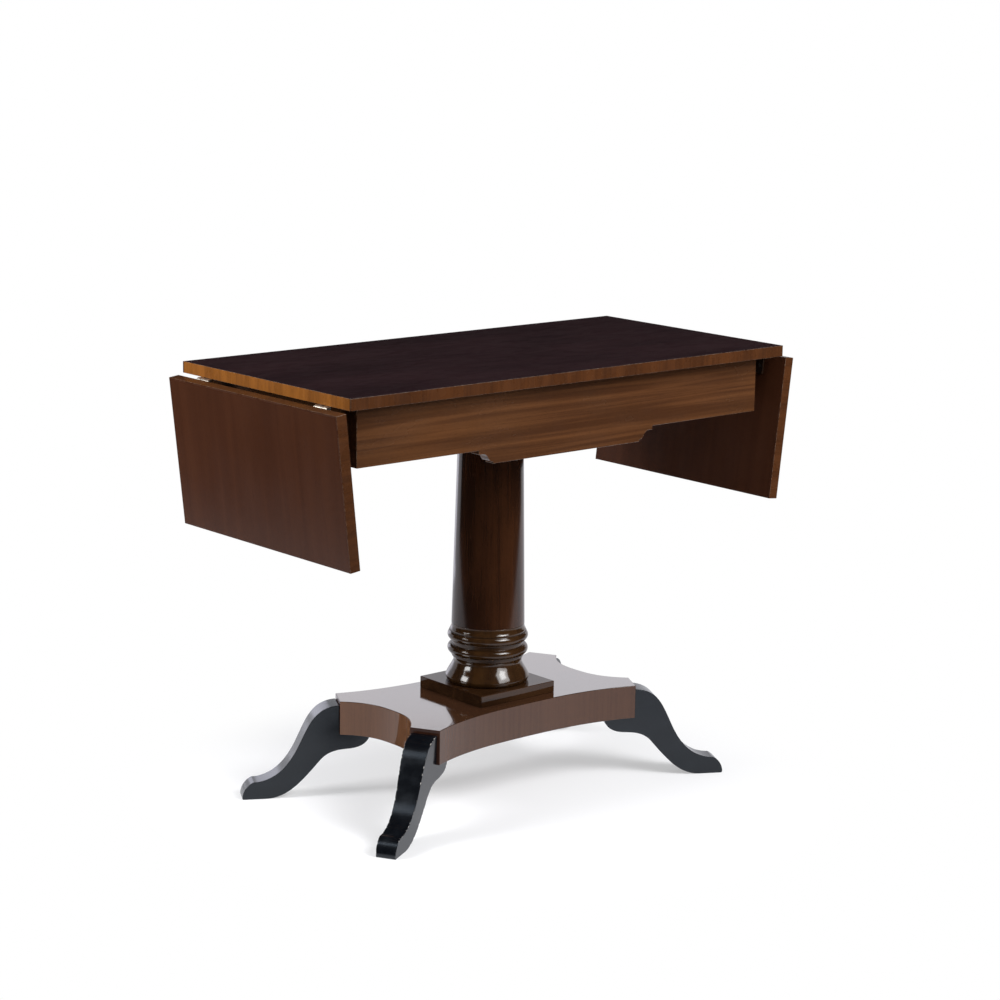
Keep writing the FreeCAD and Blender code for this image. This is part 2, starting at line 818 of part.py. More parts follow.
def add_pedestal(parts):
    leg_corners = at_corners([leg()] + leg_dowels() + leg_screws() + leg_screw_pockets())
    dowels = []
    screws = []
    for corner, solids in leg_corners.items():
        leg_solid, pair_of_dowels, pair_of_screws, pockets = solids[0], solids[1:3], solids[3:5], solids[5:]
        parts["leg_" + corner] = without(leg_solid, pair_of_dowels + pair_of_screws + pockets)
        dowels += pair_of_dowels
        screws += pair_of_screws
    parts["leg_dowels"] = group(dowels)
    parts["leg_screws"] = group(screws)
    parts["platform_block"] = without(platform_block(), dowels + screws)
    parts["plinth_block"] = plinth_block()
    parts["column_base"] = column_base()
    parts["column_shaft"] = column_shaft()
    parts["tie_rod"] = tie_rod()
    parts["tie_rod_washers"] = group(rod_washers())
    parts["tie_rod_nuts"] = group(rod_nuts())


def print_joint_facts():
    """The places, ranges and ratios of the joints, for the right side."""
    hanging_pivot = swing(stay_leaf_pivot, leaf_raise)
    folded = knee_of(stay_rail_pivot, hanging_pivot)
    straight = knee_of(stay_rail_pivot, stay_leaf_pivot)
    lower_turn = angle_of(straight - stay_rail_pivot) - angle_of(folded - stay_rail_pivot)
    folded_way = FreeCAD.Rotation(across, -leaf_raise).multVec(folded - hanging_pivot)
    upper_turn = (angle_of(straight - stay_leaf_pivot) - angle_of(folded_way) + 180) % 360 - 180
    print("leaf pin", pin_x, pin_z, "raise", leaf_raise)
    print("rail pivot", stay_rail_pivot, "turn about +Y", lower_turn, "ratio", lower_turn / -leaf_raise)
    print("leaf pivot", hanging_pivot, "turn about +Y", upper_turn, "ratio", upper_turn / -leaf_raise)


def build():
    rail_seat = (Vector(rail_end_face, 0, 0), Vector(1, 0, 0), 1)
    leaf_seat = (Vector(0, 0, underside), Vector(0, 0, -1), -1)
    top_flap_screws = [screw for y in (-hinge_y, hinge_y) for screw in flap_screws(-1, y)]
    rail_screws = stay_plate_screws(stay_rail_pivot, *rail_seat)
    leaf_screws = [screw for y in (-hinge_y, hinge_y) for screw in flap_screws(1, y)]
    leaf_screws += stay_plate_screws(stay_leaf_pivot, *leaf_seat)
    fixed_screws = top_flap_screws + rail_screws
    both_sides = fixed_screws + [turned_about_z(screw, 180) for screw in fixed_screws]
    hanging_screws = [lowered(screw) for screw in leaf_screws]
    parts = {}
    add_top_and_frame(parts, both_sides)
    add_leaves(parts, leaf_screws)
    add_hinges(parts, top_flap_screws, leaf_screws)
    add_stays(parts, rail_seat, leaf_seat, rail_screws, leaf_screws)
    add_pedestal(parts)
    parts["hardware_screws_frame"] = group(both_sides)
    parts["hardware_screws_leaf_right"] = group(hanging_screws)
    parts["hardware_screws_leaf_left"] = group([turned_about_z(screw, 180) for screw in hanging_screws])
    return parts


os.makedirs("parts", exist_ok=True)
for node, shape in build().items():
    shape.exportStep("parts/" + node + ".step")
    print(node, len(shape.Solids), round(shape.Volume), shape.isValid())
print_joint_facts()
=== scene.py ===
import json
import math
from collections import namedtuple

import bpy
import numpy as np
from mathutils import Matrix, Vector


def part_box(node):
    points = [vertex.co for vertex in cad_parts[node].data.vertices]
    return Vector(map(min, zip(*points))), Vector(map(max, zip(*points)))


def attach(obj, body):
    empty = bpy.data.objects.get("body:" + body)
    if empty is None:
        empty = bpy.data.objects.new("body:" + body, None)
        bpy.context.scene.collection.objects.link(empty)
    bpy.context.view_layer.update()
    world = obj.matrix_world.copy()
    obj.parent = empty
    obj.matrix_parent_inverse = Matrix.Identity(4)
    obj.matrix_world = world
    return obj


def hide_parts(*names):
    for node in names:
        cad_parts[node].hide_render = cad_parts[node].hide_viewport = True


# Looks of a pedestal sofa table with a drop leaf at each end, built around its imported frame.
# Metres, +Z up, +X along the length to the right, +Y to the back, with the leaves hanging.

bl_info = {
    "name": "Pedestal sofa table",
    "version": (1, 0, 0),
    "blender": (4, 5, 0),
    "location": "3D View > Sidebar > Sofa table",
    "description": "Builds the boards, turnings, platform and scroll legs of a drop-leaf sofa table",
    "category": "Object",
}

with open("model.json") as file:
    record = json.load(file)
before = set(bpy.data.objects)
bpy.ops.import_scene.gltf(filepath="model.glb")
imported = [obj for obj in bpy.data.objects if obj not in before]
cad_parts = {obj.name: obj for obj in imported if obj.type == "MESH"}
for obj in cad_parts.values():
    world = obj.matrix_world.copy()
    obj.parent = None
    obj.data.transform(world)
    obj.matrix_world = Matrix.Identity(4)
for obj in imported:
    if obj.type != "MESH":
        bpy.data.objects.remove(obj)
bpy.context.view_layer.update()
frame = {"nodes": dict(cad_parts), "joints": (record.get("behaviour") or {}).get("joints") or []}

joints = {joint["name"]: joint for joint in frame["joints"]}

# A surface's points and faces, how near each point is to a worn arris, how much it belongs to a
# flat end face, and the wood's own coordinates: along the grain, across it and through it.
Surface = namedtuple("Surface", "points faces edge cap grain")


def corners(node):
    """Lowest and highest corner of a node of the frame."""
    low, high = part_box(node)
    return np.array(low), np.array(high)


# Properties

def length(name, description, default):
    """A property for a length in metres."""
    return bpy.props.FloatProperty(name=name, description=description, default=default, min=0.0,
                                   unit="LENGTH", precision=5)


def colour(name, description, default):
    """A property for a colour."""
    return bpy.props.FloatVectorProperty(name=name, description=description, default=default, size=3,
                                         min=0.0, max=1.0, subtype="COLOR")


class TableSizes(bpy.types.PropertyGroup):
    """Sizes that the frame doesn't give as the box of a piece."""

    arris: length("Arris", "Radius of the softened outer edges of boards", 0.0007)
    joint_arris: length("Joint arris", "Radius of edges that are glued flush to another piece", 0.00008)
    polished_arris: length("Polished arris", "Radius of the edges of the platform and the plinth", 0.0009)
    turned_arris: length("Turned arris", "Radius of the creases between the column's mouldings", 0.0004)
    leg_arris: length("Leg arris", "Radius of the edges of the legs", 0.0006)
    leg_chip_margin: length("Chip margin", "How far chips reach in from a leg's edge", 0.0005)

    leaf_length: length("Leaf length", "From a leaf's hinge edge to its outer edge", 0.250)
    leaf_gap: length("Leaf gap", "Gap between the top and a raised leaf", 0.001)

    drop_height: length("Drop height", "How far the apron's middle hangs down", 0.024)
    drop_half_width: length("Drop half width", "Half the width of the drop's straight foot", 0.162)
    drop_lip: length("Drop lip", "Upright step at the foot of the drop's curve", 0.003)
    drop_ledge_step: length("Ledge step", "Upright step at the head of the drop", 0.0065)
    drop_ledge: length("Ledge", "Level ledge between the step and the curve", 0.0085)
    drop_curve_run: length("Curve run", "Level reach of the drop's S-curve", 0.022)
    drop_curve_swell: length("Curve swell", "How far each half of the S-curve bows", 0.0019)

    column_top_radius: length("Column top", "Radius of the shaft at its top", 0.0543)
    column_foot_radius: length("Column foot", "Radius of the shaft at its foot", 0.0632)
    spigot_radius: length("Spigot", "Radius of the turned spigots", 0.026)
    bore_radius: length("Bore", "Radius of the rod's bore", 0.0065)
    ring_radius: length("Rings", "Radius of the two round rings", 0.0696)
    ring_root_radius: length("Ring root", "Radius at the foot and head of a ring's bead", 0.0645)
    ring_height: length("Ring height", "Height of a ring's bead", 0.0153)
    ring_fillet_height: length("Ring fillet", "Height of the fillet under a ring's bead", 0.0016)
    ring_band_radius: length("Band", "Radius of the band between the rings", 0.0621)
    ring_band_height: length("Band height", "Height of the band between the rings", 0.0066)
    fillet_radius: length("Fillet", "Radius of the fillet above the rings", 0.0655)
    fillet_height: length("Fillet height", "Height of the fillet above the rings", 0.0031)
    flare_height: length("Flare", "Height of the flare up to the shaft", 0.0105)
    flare_hollow: length("Flare hollow", "Depth of the flare's hollow", 0.001)
    cove_head_radius: length("Cove head", "Radius of the step between the cove and the rings", 0.0618)
    cove_head_height: length("Cove head height", "Height of that step", 0.0045)
    cove_height: length("Cove", "Height of the cove above the bulb", 0.0095)
    cove_hollow: length("Cove hollow", "Depth of the cove", 0.0012)
    bulb_radius: length("Bulb", "Radius of the bulb at its widest", 0.0722)
    bulb_top_radius: length("Bulb top", "Radius of the bulb at its top", 0.0594)
    bulb_swell: length("Bulb swell", "How far the bulb's full lower part stands out", 0.0003)
    bulb_foot_radius: length("Bulb foot", "Radius of the bulb at the plinth", 0.0675)
    bulb_foot_height: length("Bulb foot height", "Height of the bulb's widest line above the plinth", 0.0095)

    cant_outer_x: length("Cant reach", "Half the platform's length, to the outer ends of its cants", 0.248)
    cant_outer_y: length("Cant outer end", "Half the distance between the cants' outer ends", 0.095)
    cant_width: length("Cant width", "Width of each canted corner", 0.053)
    side_hollow_front: length("Long hollow", "Depth of the hollow in the long sides", 0.0335)
    side_hollow_end: length("End hollow", "Depth of the hollow in the end sides", 0.038)

    leg_reach: length("Leg reach", "From the canted corner to the toe", 0.166)
    leg_rise: length("Leg rise", "Height of the leg's top", 0.162)
    leg_top_thick: length("Leg thickness, top", "Thickness of the leg at its top", 0.045)
    leg_toe_thick: length("Leg thickness, toe", "Thickness of the leg at the floor", 0.034)
    leg_tongue_length: length("Tongue length", "Reach of the tongue under the platform", 0.054)
    leg_tongue_depth: length("Tongue depth", "Depth of the leg under the platform", 0.0275)
    leg_sole_length: length("Sole", "Length of the flat sole", 0.042)
    leg_toe_height: length("Toe height", "Height of the instep above the sole", 0.0305)
    leg_toe_run: length("Toe run", "Level reach of the rounded toe", 0.019)
    leg_toe_bulge: length("Toe bulge", "How far the toe bows out", 0.0055)


class TableColours(bpy.types.PropertyGroup):
    """Colours of the woods and finishes."""

    top_light: colour("Top, light", "Lighter streaks of the top's veneer", (0.0195, 0.0085, 0.0100))
    top_dark: colour("Top, dark", "Darker streaks of the top's veneer", (0.0110, 0.0045, 0.0057))
    leaf_light: colour("Leaf, light", "Lighter streaks of the leaves' veneer", (0.052, 0.0176, 0.0080))
    leaf_dark: colour("Leaf, dark", "Darker streaks of the leaves' veneer", (0.0415, 0.0138, 0.0064))
    band_light: colour("Band, light", "Lighter blocks of the long edge bands", (0.068, 0.0235, 0.0076))
    band_dark: colour("Band, dark", "Darker blocks of the long edge bands", (0.042, 0.0147, 0.0053))
    # The end bands' tones are painted light: far lighter than the long bands, they stand in for the strong
    # light from the left lamp on the left end
    lit_end_band_light: colour("End band, light", "Lighter blocks of the bands at the top's ends",
                           (0.255, 0.092, 0.0168))
    lit_end_band_dark: colour("End band, dark", "Darker blocks of the bands at the top's ends",
                          (0.160, 0.056, 0.0110))
    apron_light: colour("Apron, light", "Lighter ribbons of the aprons", (0.092, 0.0362, 0.0132))
    apron_dark: colour("Apron, dark", "Darker ribbons of the aprons", (0.047, 0.0178, 0.0070))
    column_light: colour("Column, light", "Lighter streaks of the shaft", (0.034, 0.0118, 0.0044))
    column_dark: colour("Column, dark", "Darker streaks of the shaft", (0.0175, 0.0060, 0.0026))
    turned_light: colour("Turning, light", "Lighter streaks of the turned base", (0.042, 0.0186, 0.0058))
    turned_dark: colour("Turning, dark", "Darker streaks of the turned base", (0.022, 0.0096, 0.0036))
    plinth_light: colour("Plinth, light", "Lighter streaks of the plinth", (0.036, 0.0155, 0.0062))
    plinth_dark: colour("Plinth, dark", "Darker streaks of the plinth", (0.017, 0.0070, 0.0029))
    platform_light: colour("Platform, light", "Lighter streaks of the platform's veneer",
                           (0.066, 0.0280, 0.0140))
    platform_dark: colour("Platform, dark", "Darker streaks of the platform's veneer",
                          (0.052, 0.0215, 0.0108))
    cant_light: colour("Cants, light", "Lighter streaks of the platform's canted corners",
                       (0.040, 0.0145, 0.0080))
    cant_dark: colour("Cants, dark", "Darker streaks of the platform's canted corners",
                      (0.026, 0.0095, 0.0052))
    # The platform's ends are a lighter, warmer copy of its veneer: painted light standing in for more light
    # from the left lamp on the left end
    lit_platform_end_light: colour("Platform ends, light", "Lighter streaks of the platform's ends",
                      (0.112, 0.0480, 0.0210))
    lit_platform_end_dark: colour("Platform ends, dark", "Darker streaks of the platform's ends", (0.090, 0.0380, 0.0165))
    lacquer: colour("Lacquer", "Black lacquer of the legs", (0.0022, 0.0028, 0.0042))
    lacquer_rub: colour("Rubbed lacquer", "Lacquer where it is rubbed thin", (0.0055, 0.0066, 0.0088))
    # The lacquer's reflections are tinted cool: a painted reflection colour for the cool studio light that
    # shows in them
    lacquer_cool_reflection: colour("Lacquer sheen", "Tint of the reflections in the lacquer", (0.87, 0.94, 1.0))
    chipped_wood: colour("Chips", "Pale ground that shows where the lacquer is chipped", (0.46, 0.43, 0.40))
    bare_wood: colour("Bare wood", "Wood that shows where an edge is worn", (0.42, 0.33, 0.25))
    frame_light: colour("Frame wood, light", "Lighter streaks of the inner frame", (0.44, 0.29, 0.165))
    frame_dark: colour("Frame wood, dark", "Darker streaks of the inner frame", (0.27, 0.165, 0.085))
    dowel_light: colour("Dowel, light", "Lighter streaks of the dowels", (0.62, 0.45, 0.27))
    dowel_dark: colour("Dowel, dark", "Darker streaks of the dowels", (0.45, 0.30, 0.16))
    hinge_metal: colour("Knuckles", "Plated hinge knuckles", (0.72, 0.64, 0.55))
    # The flaps' dark brown is painted shade: it matches the shade under the top where the flaps show
    shaded_hinge_flap: colour("Flaps", "Darkened hinge flaps", (0.22, 0.14, 0.095))
    stay_metal: colour("Stays", "Plated stays", (0.55, 0.53, 0.50))
    screw_metal: colour("Screws", "Screws, rod, washers and nuts", (0.48, 0.47, 0.45))


def sizes():
    """The sizes that are set for this scene."""
    return bpy.context.scene.table_sizes


def colours():
    """The colours that are set for this scene."""
    return bpy.context.scene.table_colours


# Outlines: closed loops of points in a plane, made of stretches that meet at corners

# Rounding of an outline's corners, as a multiple of the radius of its rim
CORNER_ROUNDING = 1.25
# How far from a corner a stretch's own points end, as a multiple of the reach of that corner's arc
CORNER_CLEARANCE = 1.5


def unit(vectors):
    """The vectors, each brought to a length of 1."""
    return vectors / np.linalg.norm(vectors, axis=-1, keepdims=True)


def chain(*places):
    """Straight stretches from each place to the next."""
    points = np.array(places, float)
    return [np.stack(pair) for pair in zip(points[:-1], points[1:])]


def polygon(*places):
    """Straight stretches from each place to the next, and back to the first."""
    return chain(*places, places[0])


def rectangle(low, high):
    """The four sides between two corners, counter-clockwise from the low Y side."""
    return polygon((low[0], low[1]), (high[0], low[1]), (high[0], high[1]), (low[0], high[1]))


def arc(start, end, swell, count=20):
    """The circular arc from start to end that stands out by swell to the right of the way."""
    start, end = np.array(start, float), np.array(end, float)
    chord = np.linalg.norm(end - start)
    way = (end - start) / chord
    side = np.array([way[1], -way[0]])
    half_turn = 2 * math.atan(2 * abs(swell) / chord)
    radius = chord / (2 * math.sin(half_turn))
    turn = np.linspace(-half_turn, half_turn, count)[:, None]
    out = math.copysign(radius, swell) * (np.cos(turn) - math.cos(half_turn))
    return (start + end) / 2 + way * radius * np.sin(turn) + side * out


def arc_about(centre, radius, first, last, count=24):
    """The circular arc about a centre between two angles from the first axis."""
    turn = np.linspace(first, last, count)
    return np.array(centre) + radius * np.stack([np.cos(turn), np.sin(turn)], 1)


def smooth_curve(knots, first_way, last_way, count=220):
    """The cubic spline through the knots, spaced by its chords, with its direction set at both ends. Its
    slopes at the knots solve the equations that make it bend alike on both sides of each inner knot."""
    knots = np.array(knots)
    chords = np.linalg.norm(np.diff(knots, axis=0), axis=1)
    places = np.concatenate([[0.0], np.cumsum(chords)])
    weights = 1 / chords
    system = np.diag(np.concatenate([[1.0], 2 * (weights[:-1] + weights[1:]), [1.0]]))
    inner = np.arange(1, len(knots) - 1)
    system[inner, inner - 1] = weights[:-1]
    system[inner, inner + 1] = weights[1:]
    steps = np.diff(knots, axis=0) * weights[:, None] ** 2
    wanted = np.concatenate([[first_way], 3 * (steps[:-1] + steps[1:]), [last_way]])
    slopes = np.linalg.solve(system, wanted)
    where = np.linspace(0, places[-1], count)
    span = np.clip(np.searchsorted(places, where, side="right") - 1, 0, len(chords) - 1)
    share = ((where - places[span]) / chords[span])[:, None]
    start, end = knots[span], knots[span + 1]
    stride = chords[span][:, None]
    return (start * (1 + 2 * share) * (1 - share) ** 2 + end * share ** 2 * (3 - 2 * share)
            + stride * share * (1 - share) * (slopes[span] * (1 - share) - slopes[span + 1] * share))


def corner_arc(before, corner, after, radius, steps=5):
    """The arc of that radius that touches both lines at a corner, its wear, highest half way round, and
    its reach, which is how far from the corner it starts and ends."""
    to_before = unit(before - corner)
    to_after = unit(after - corner)
    opening = math.acos(np.clip(to_before @ to_after, -1, 1))
    centre = corner + unit(to_before + to_after) * radius / math.sin(opening / 2)
    reach = radius / math.tan(opening / 2)
    first = corner + to_before * reach - centre
    last = corner + to_after * reach - centre
    sweep = math.pi - opening
    share = np.linspace(0, 1, steps + 1)[:, None]
    points = centre + (np.sin((1 - share) * sweep) * first + np.sin(share * sweep) * last) / math.sin(sweep)
    return points, np.sin(math.pi * share[:, 0]), reach


def outline(stretches, radii, rims):
    """A closed loop of stretches that meet at corners: its points, their wear and their rims. Corner i,
    after stretch i, is rounded by an arc of radii[i], and rims[i] is kept for each point of stretch i.
    Points too near a corner are left out, so that the loop never turns back. It comes out
    counter-clockwise."""
    points, wear, rim = [], [], []
    count = len(stretches)
    bends = [corner_arc(stretch[-2], stretch[-1], stretches[(index + 1) % count][1], radii[index])
             for index, stretch in enumerate(stretches)]
    for index, stretch in enumerate(stretches):
        bend, bend_wear, reach = bends[index]
        inner = stretch[1:-1]
        past_start = np.linalg.norm(inner - stretch[0], axis=1) > CORNER_CLEARANCE * bends[index - 1][2]
        before_end = np.linalg.norm(inner - stretch[-1], axis=1) > CORNER_CLEARANCE * reach
        inner = inner[past_start & before_end]
        bend_rim = np.linspace(rims[index], rims[(index + 1) % count], len(bend))
        points += [inner, bend]
        wear += [np.zeros(len(inner)), bend_wear]
        rim += [np.full(len(inner), rims[index]), bend_rim]
    points, wear, rim = np.concatenate(points), np.concatenate(wear), np.concatenate(rim)
    ahead = np.roll(points, -1, 0)
    if np.sum(points[:, 0] * ahead[:, 1] - ahead[:, 0] * points[:, 1]) < 0:
        points, wear, rim = points[::-1], wear[::-1], rim[::-1]
    return points, wear, rim


def even_outline(stretches, rim, radius=None):
    """A closed loop with the same rounding at every corner and the same rim all along."""
    count = len(stretches)
    return outline(stretches, [radius or rim * CORNER_ROUNDING] * count, [rim] * count)


def outward(points):
    """Unit normals of a counter-clockwise loop, square to the line between each point's neighbours."""
    way = unit(np.roll(points, -1, 0) - np.roll(points, 1, 0))
    return np.stack([way[:, 1], -way[:, 0]], 1)


# Surfaces: an outline carried along a line or round an axis

# Wear of the margin beside an arris, and of an arris where it isn't nicked, as shares of full wear
MARGIN_WEAR = 0.6
SOUND_WEAR = 0.4


def loop_faces(rows, columns):
    """Quads between closed rows of points, facing outwards when the rows rise."""
    first = np.arange(rows - 1)[:, None] * columns + np.arange(columns)
    beside = np.roll(first, -1, axis=1)
    return np.stack([first, beside, beside + columns, first + columns], 2).reshape(-1, 4).tolist()


def prism(loop, low, high, margin=0.0, steps=4, nicks=None):
    """An outline carried from low to high along the third axis. At each end it draws in along its own
    normals on a quarter circle of its rim radius, and a flat face closes it. A margin adds a line
    inside each flat face, up to which that face counts as near the arris. Nicks, one row for each end,
    give how far the rim is chipped away at each point of the outline, as a share of its radius. The
    last two faces are the flat ones at low and at high."""
    points, wear, rim = loop
    lower_nick, upper_nick = np.zeros((2, len(points))) if nicks is None else nicks
    turn = np.linspace(0, math.pi / 2, steps + 1)
    draw_in, rise = 1 - np.sin(turn), 1 - np.cos(turn)
    row_edge = np.sin(2 * turn)
    row_cap = np.cos(turn)
    extra = np.zeros(steps + 1)
    if margin:
        draw_in, rise = np.insert(draw_in, 0, 1), np.insert(rise, 0, 0)
        row_edge = np.insert(np.maximum(row_edge, row_cap * MARGIN_WEAR), 0, 0)
        row_cap = np.insert(row_cap, 0, 1)
        extra = np.insert(extra, 0, margin)
    lower_rim, upper_rim = rim * (1 + lower_nick), rim * (1 + upper_nick)
    sink = np.concatenate([draw_in[:, None] * lower_rim + extra[:, None],
                           draw_in[::-1, None] * upper_rim + extra[::-1, None]])
    lower = low + rise[:, None] * lower_rim
    upper = high - rise[::-1, None] * upper_rim
    plan = points[None] - outward(points)[None] * sink[:, :, None]
    grid = np.concatenate([plan, np.concatenate([lower, upper])[:, :, None]], 2)
    row_edge = np.concatenate([row_edge, row_edge[::-1]])
    row_cap = np.concatenate([row_cap, row_cap[::-1]])
    soft = (rim > rim.max() / 2)[None]
    edge = np.maximum(wear[None] * (1 - row_cap)[:, None], row_edge[:, None]) * soft
    if nicks is not None:
        chipped = np.repeat(np.minimum(np.array(nicks), 1), len(edge) // 2, axis=0)
        edge = edge * (SOUND_WEAR + (1 - SOUND_WEAR) * chipped)
    cap = np.broadcast_to(row_cap[:, None], edge.shape)
    rows, columns = edge.shape
    floor_face = list(range(columns))[::-1]
    roof_face = list(range((rows - 1) * columns, rows * columns))
    faces = loop_faces(rows, columns) + [floor_face, roof_face]
    return Surface(grid.reshape(-1, 3), faces, edge.ravel(), cap.ravel(), grid.reshape(-1, 3))


def turned(loop, segments=144):
    """An outline in radius and height carried once round the Z axis."""
    points, wear = loop[:2]
    angle = np.linspace(0, 2 * math.pi, segments, endpoint=False)
    radius, height = points[None, :, 0], np.broadcast_to(points[None, :, 1], (segments, len(points)))
    grid = np.stack([radius * np.cos(angle)[:, None], radius * np.sin(angle)[:, None], height], 2)
    first = np.arange(segments)[:, None] * len(points) + np.arange(len(points))
    beside = np.roll(first, -1, axis=0)
    above = np.roll(first, -1, axis=1)
    both = np.roll(beside, -1, axis=1)
    faces = np.stack([first, beside, both, above], 2).reshape(-1, 4).tolist()
    edge = np.broadcast_to(wear[None], first.shape).ravel()
    places = grid.reshape(-1, 3)
    return Surface(places, faces, edge, np.zeros(len(places)), places[:, [2, 0, 1]])


def moved(surface, origin, first, second, third):
    """The surface with its three axes laid along the given directions from an origin."""
    axes = np.array([first, second, third], float)
    faces = surface.faces
    if np.linalg.det(axes) < 0:
        faces = [face[::-1] for face in faces]
    return surface._replace(points=np.array(origin) + surface.points @ axes, faces=faces)


def half_turned(surface):
    """The surface turned by half a turn about the table's upright axis."""
    return surface._replace(points=surface.points * np.array([-1.0, -1.0, 1.0]))


def with_grain(surface, order):
    """The surface with its grain along the first of its three axes in that order."""
    return surface._replace(grain=surface.grain[:, list(order)])


def shifted_grain(surface, shift):
    """The surface with its figure cut from another place in the wood."""
    return surface._replace(grain=surface.grain + np.array(shift))


def plank(low, high, soft):
    """A board between two corners. Its low X, high X, low Y and high Y sides have softened arrises
    where soft says so, and nearly sharp ones where they are glued to another piece."""
    size = sizes()
    low_x, high_x, low_y, high_y = [size.arris if flag else size.joint_arris for flag in soft]
    rims = [low_y, high_x, high_y, low_x]
    radii = [min(rim, after) * CORNER_ROUNDING for rim, after in zip(rims, rims[1:] + rims[:1])]
    return prism(outline(rectangle(low, high), radii, rims), low[2], high[2])


# Pieces

def add_piece(name, surface, finish, body, nodes, others=()):
    """Puts a surface into the scene as one piece that stands for nodes of the frame and rides on a body.
    Others are pairs of another finish and a mask of the faces that it covers."""
    mesh = bpy.data.meshes.new(name)
    mesh.from_pydata(surface.points.tolist(), [], surface.faces)
    for attribute, values in (("edge", surface.edge), ("cap", surface.cap)):
        layer = mesh.attributes.new(attribute, "FLOAT", "POINT")
        layer.data.foreach_set("value", np.ascontiguousarray(values, np.float32))
    layer = mesh.attributes.new("grain", "FLOAT_VECTOR", "POINT")
    layer.data.foreach_set("vector", np.ascontiguousarray(surface.grain, np.float32).ravel())
    mesh.shade_smooth()
    mesh.materials.append(finish)
    cover = np.zeros(len(surface.faces), np.int32)
    for index, (other, mask) in enumerate(others, 1):
        mesh.materials.append(other)
        cover[mask] = index
    mesh.polygons.foreach_set("material_index", cover)
    piece = bpy.data.objects.new(name, mesh)
    bpy.context.scene.collection.objects.link(piece)
    weighted = piece.modifiers.new("Even shading", "WEIGHTED_NORMAL")
    weighted.mode = "FACE_AREA"
    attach(piece, body)
    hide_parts(*nodes)


def dress(nodes, finish):
    """Gives nodes of the frame a finish in place of the one they came with."""
    for node in nodes:
        mesh = frame["nodes"][node].data
        mesh.materials.clear()
        mesh.materials.append(finish)


# Finishes

# Share of a pattern's shift along each axis
STREAK_SHIFT = (1.0, 0.7, 0.3)


class Nodes:
    """The nodes of a material or of the room, and short ways to add to them."""

    def __init__(self, owner, output="ShaderNodeOutputMaterial"):
        owner.use_nodes = True
        self.tree = owner.node_tree
        self.tree.nodes.clear()
        self.surface = self.add(output).inputs["Surface"]

    def add(self, kind, **settings):
        """A new node of that kind with those settings."""
        node = self.tree.nodes.new(kind)
        for key, value in settings.items():
            setattr(node, key, value)
        return node

    def join(self, source, target):
        """A link from an output to an input."""
        self.tree.links.new(source, target)

    def attribute(self, name):
        """A number that the mesh keeps for each point."""
        return self.add("ShaderNodeAttribute", attribute_name=name).outputs["Fac"]

    def grain(self):
        """The wood's own coordinates, along the grain first."""
        return self.add("ShaderNodeAttribute", attribute_name="grain").outputs["Vector"]

    def place(self):
        """The place in the table's frame."""
        return self.add("ShaderNodeTexCoord").outputs["Object"]

    def streaks(self, source, long, wide, detail=2.0, shift=0.0, distortion=0.0):
        """Noise in streaks of that length along the grain and width across it, about 0.5 on average."""
        mapping = self.add("ShaderNodeMapping")
        mapping.inputs["Scale"].default_value = (1 / long, 1 / wide, 1 / wide)
        mapping.inputs["Location"].default_value = tuple(shift * share for share in STREAK_SHIFT)
        self.join(source, mapping.inputs["Vector"])
        noise = self.add("ShaderNodeTexNoise")
        noise.inputs["Scale"].default_value = 1.0
        noise.inputs["Detail"].default_value = detail
        noise.inputs["Distortion"].default_value = distortion
        self.join(mapping.outputs["Vector"], noise.inputs["Vector"])
        return noise.outputs["Fac"]

    def spread(self, value, low, high, to_low=0.0, to_high=1.0):
        """The value's range from low to high taken smoothly to a new range."""
        node = self.add("ShaderNodeMapRange", interpolation_type="SMOOTHSTEP")
        for name, amount in (("From Min", low), ("From Max", high), ("To Min", to_low), ("To Max", to_high)):
            node.inputs[name].default_value = amount
        self.join(value, node.inputs["Value"])
        return node.outputs["Result"]

    def math(self, operation, first, second):
        """Two numbers put together; each may be a fixed number or another node's."""
        node = self.add("ShaderNodeMath", operation=operation)
        for socket, value in zip(node.inputs, (first, second)):
            if isinstance(value, (int, float)):
                socket.default_value = value
            else:
                self.join(value, socket)
        return node.outputs["Value"]

    def vector(self, operation, source, second=None):
        """A vector node's result for another node's vector and, where one is given, a fixed vector."""
        node = self.add("ShaderNodeVectorMath", operation=operation)
        self.join(source, node.inputs[0])
        if second is not None:
            node.inputs[1].default_value = second
        return node.outputs["Value" if operation in ("LENGTH", "DOT_PRODUCT") else "Vector"]

    def blend(self, share, first, second):
        """Two colours mixed by another node's share; each may be a fixed colour or another node's."""
        node = self.add("ShaderNodeMix", data_type="RGBA")
        factor, base, over = node.inputs[0], node.inputs[6], node.inputs[7]
        self.join(share, factor)
        for socket, value in ((base, first), (over, second)):
            if isinstance(value, bpy.types.NodeSocket):
                self.join(value, socket)
            else:
                socket.default_value = (*value, 1.0)
        return node.outputs[2]

    def mixed(self, share, first, second):
        """Two shaders mixed by another node's share."""
        node = self.add("ShaderNodeMixShader")
        for source, socket in zip((share, first, second), node.inputs):
            self.join(source, socket)
        return node.outputs[0]


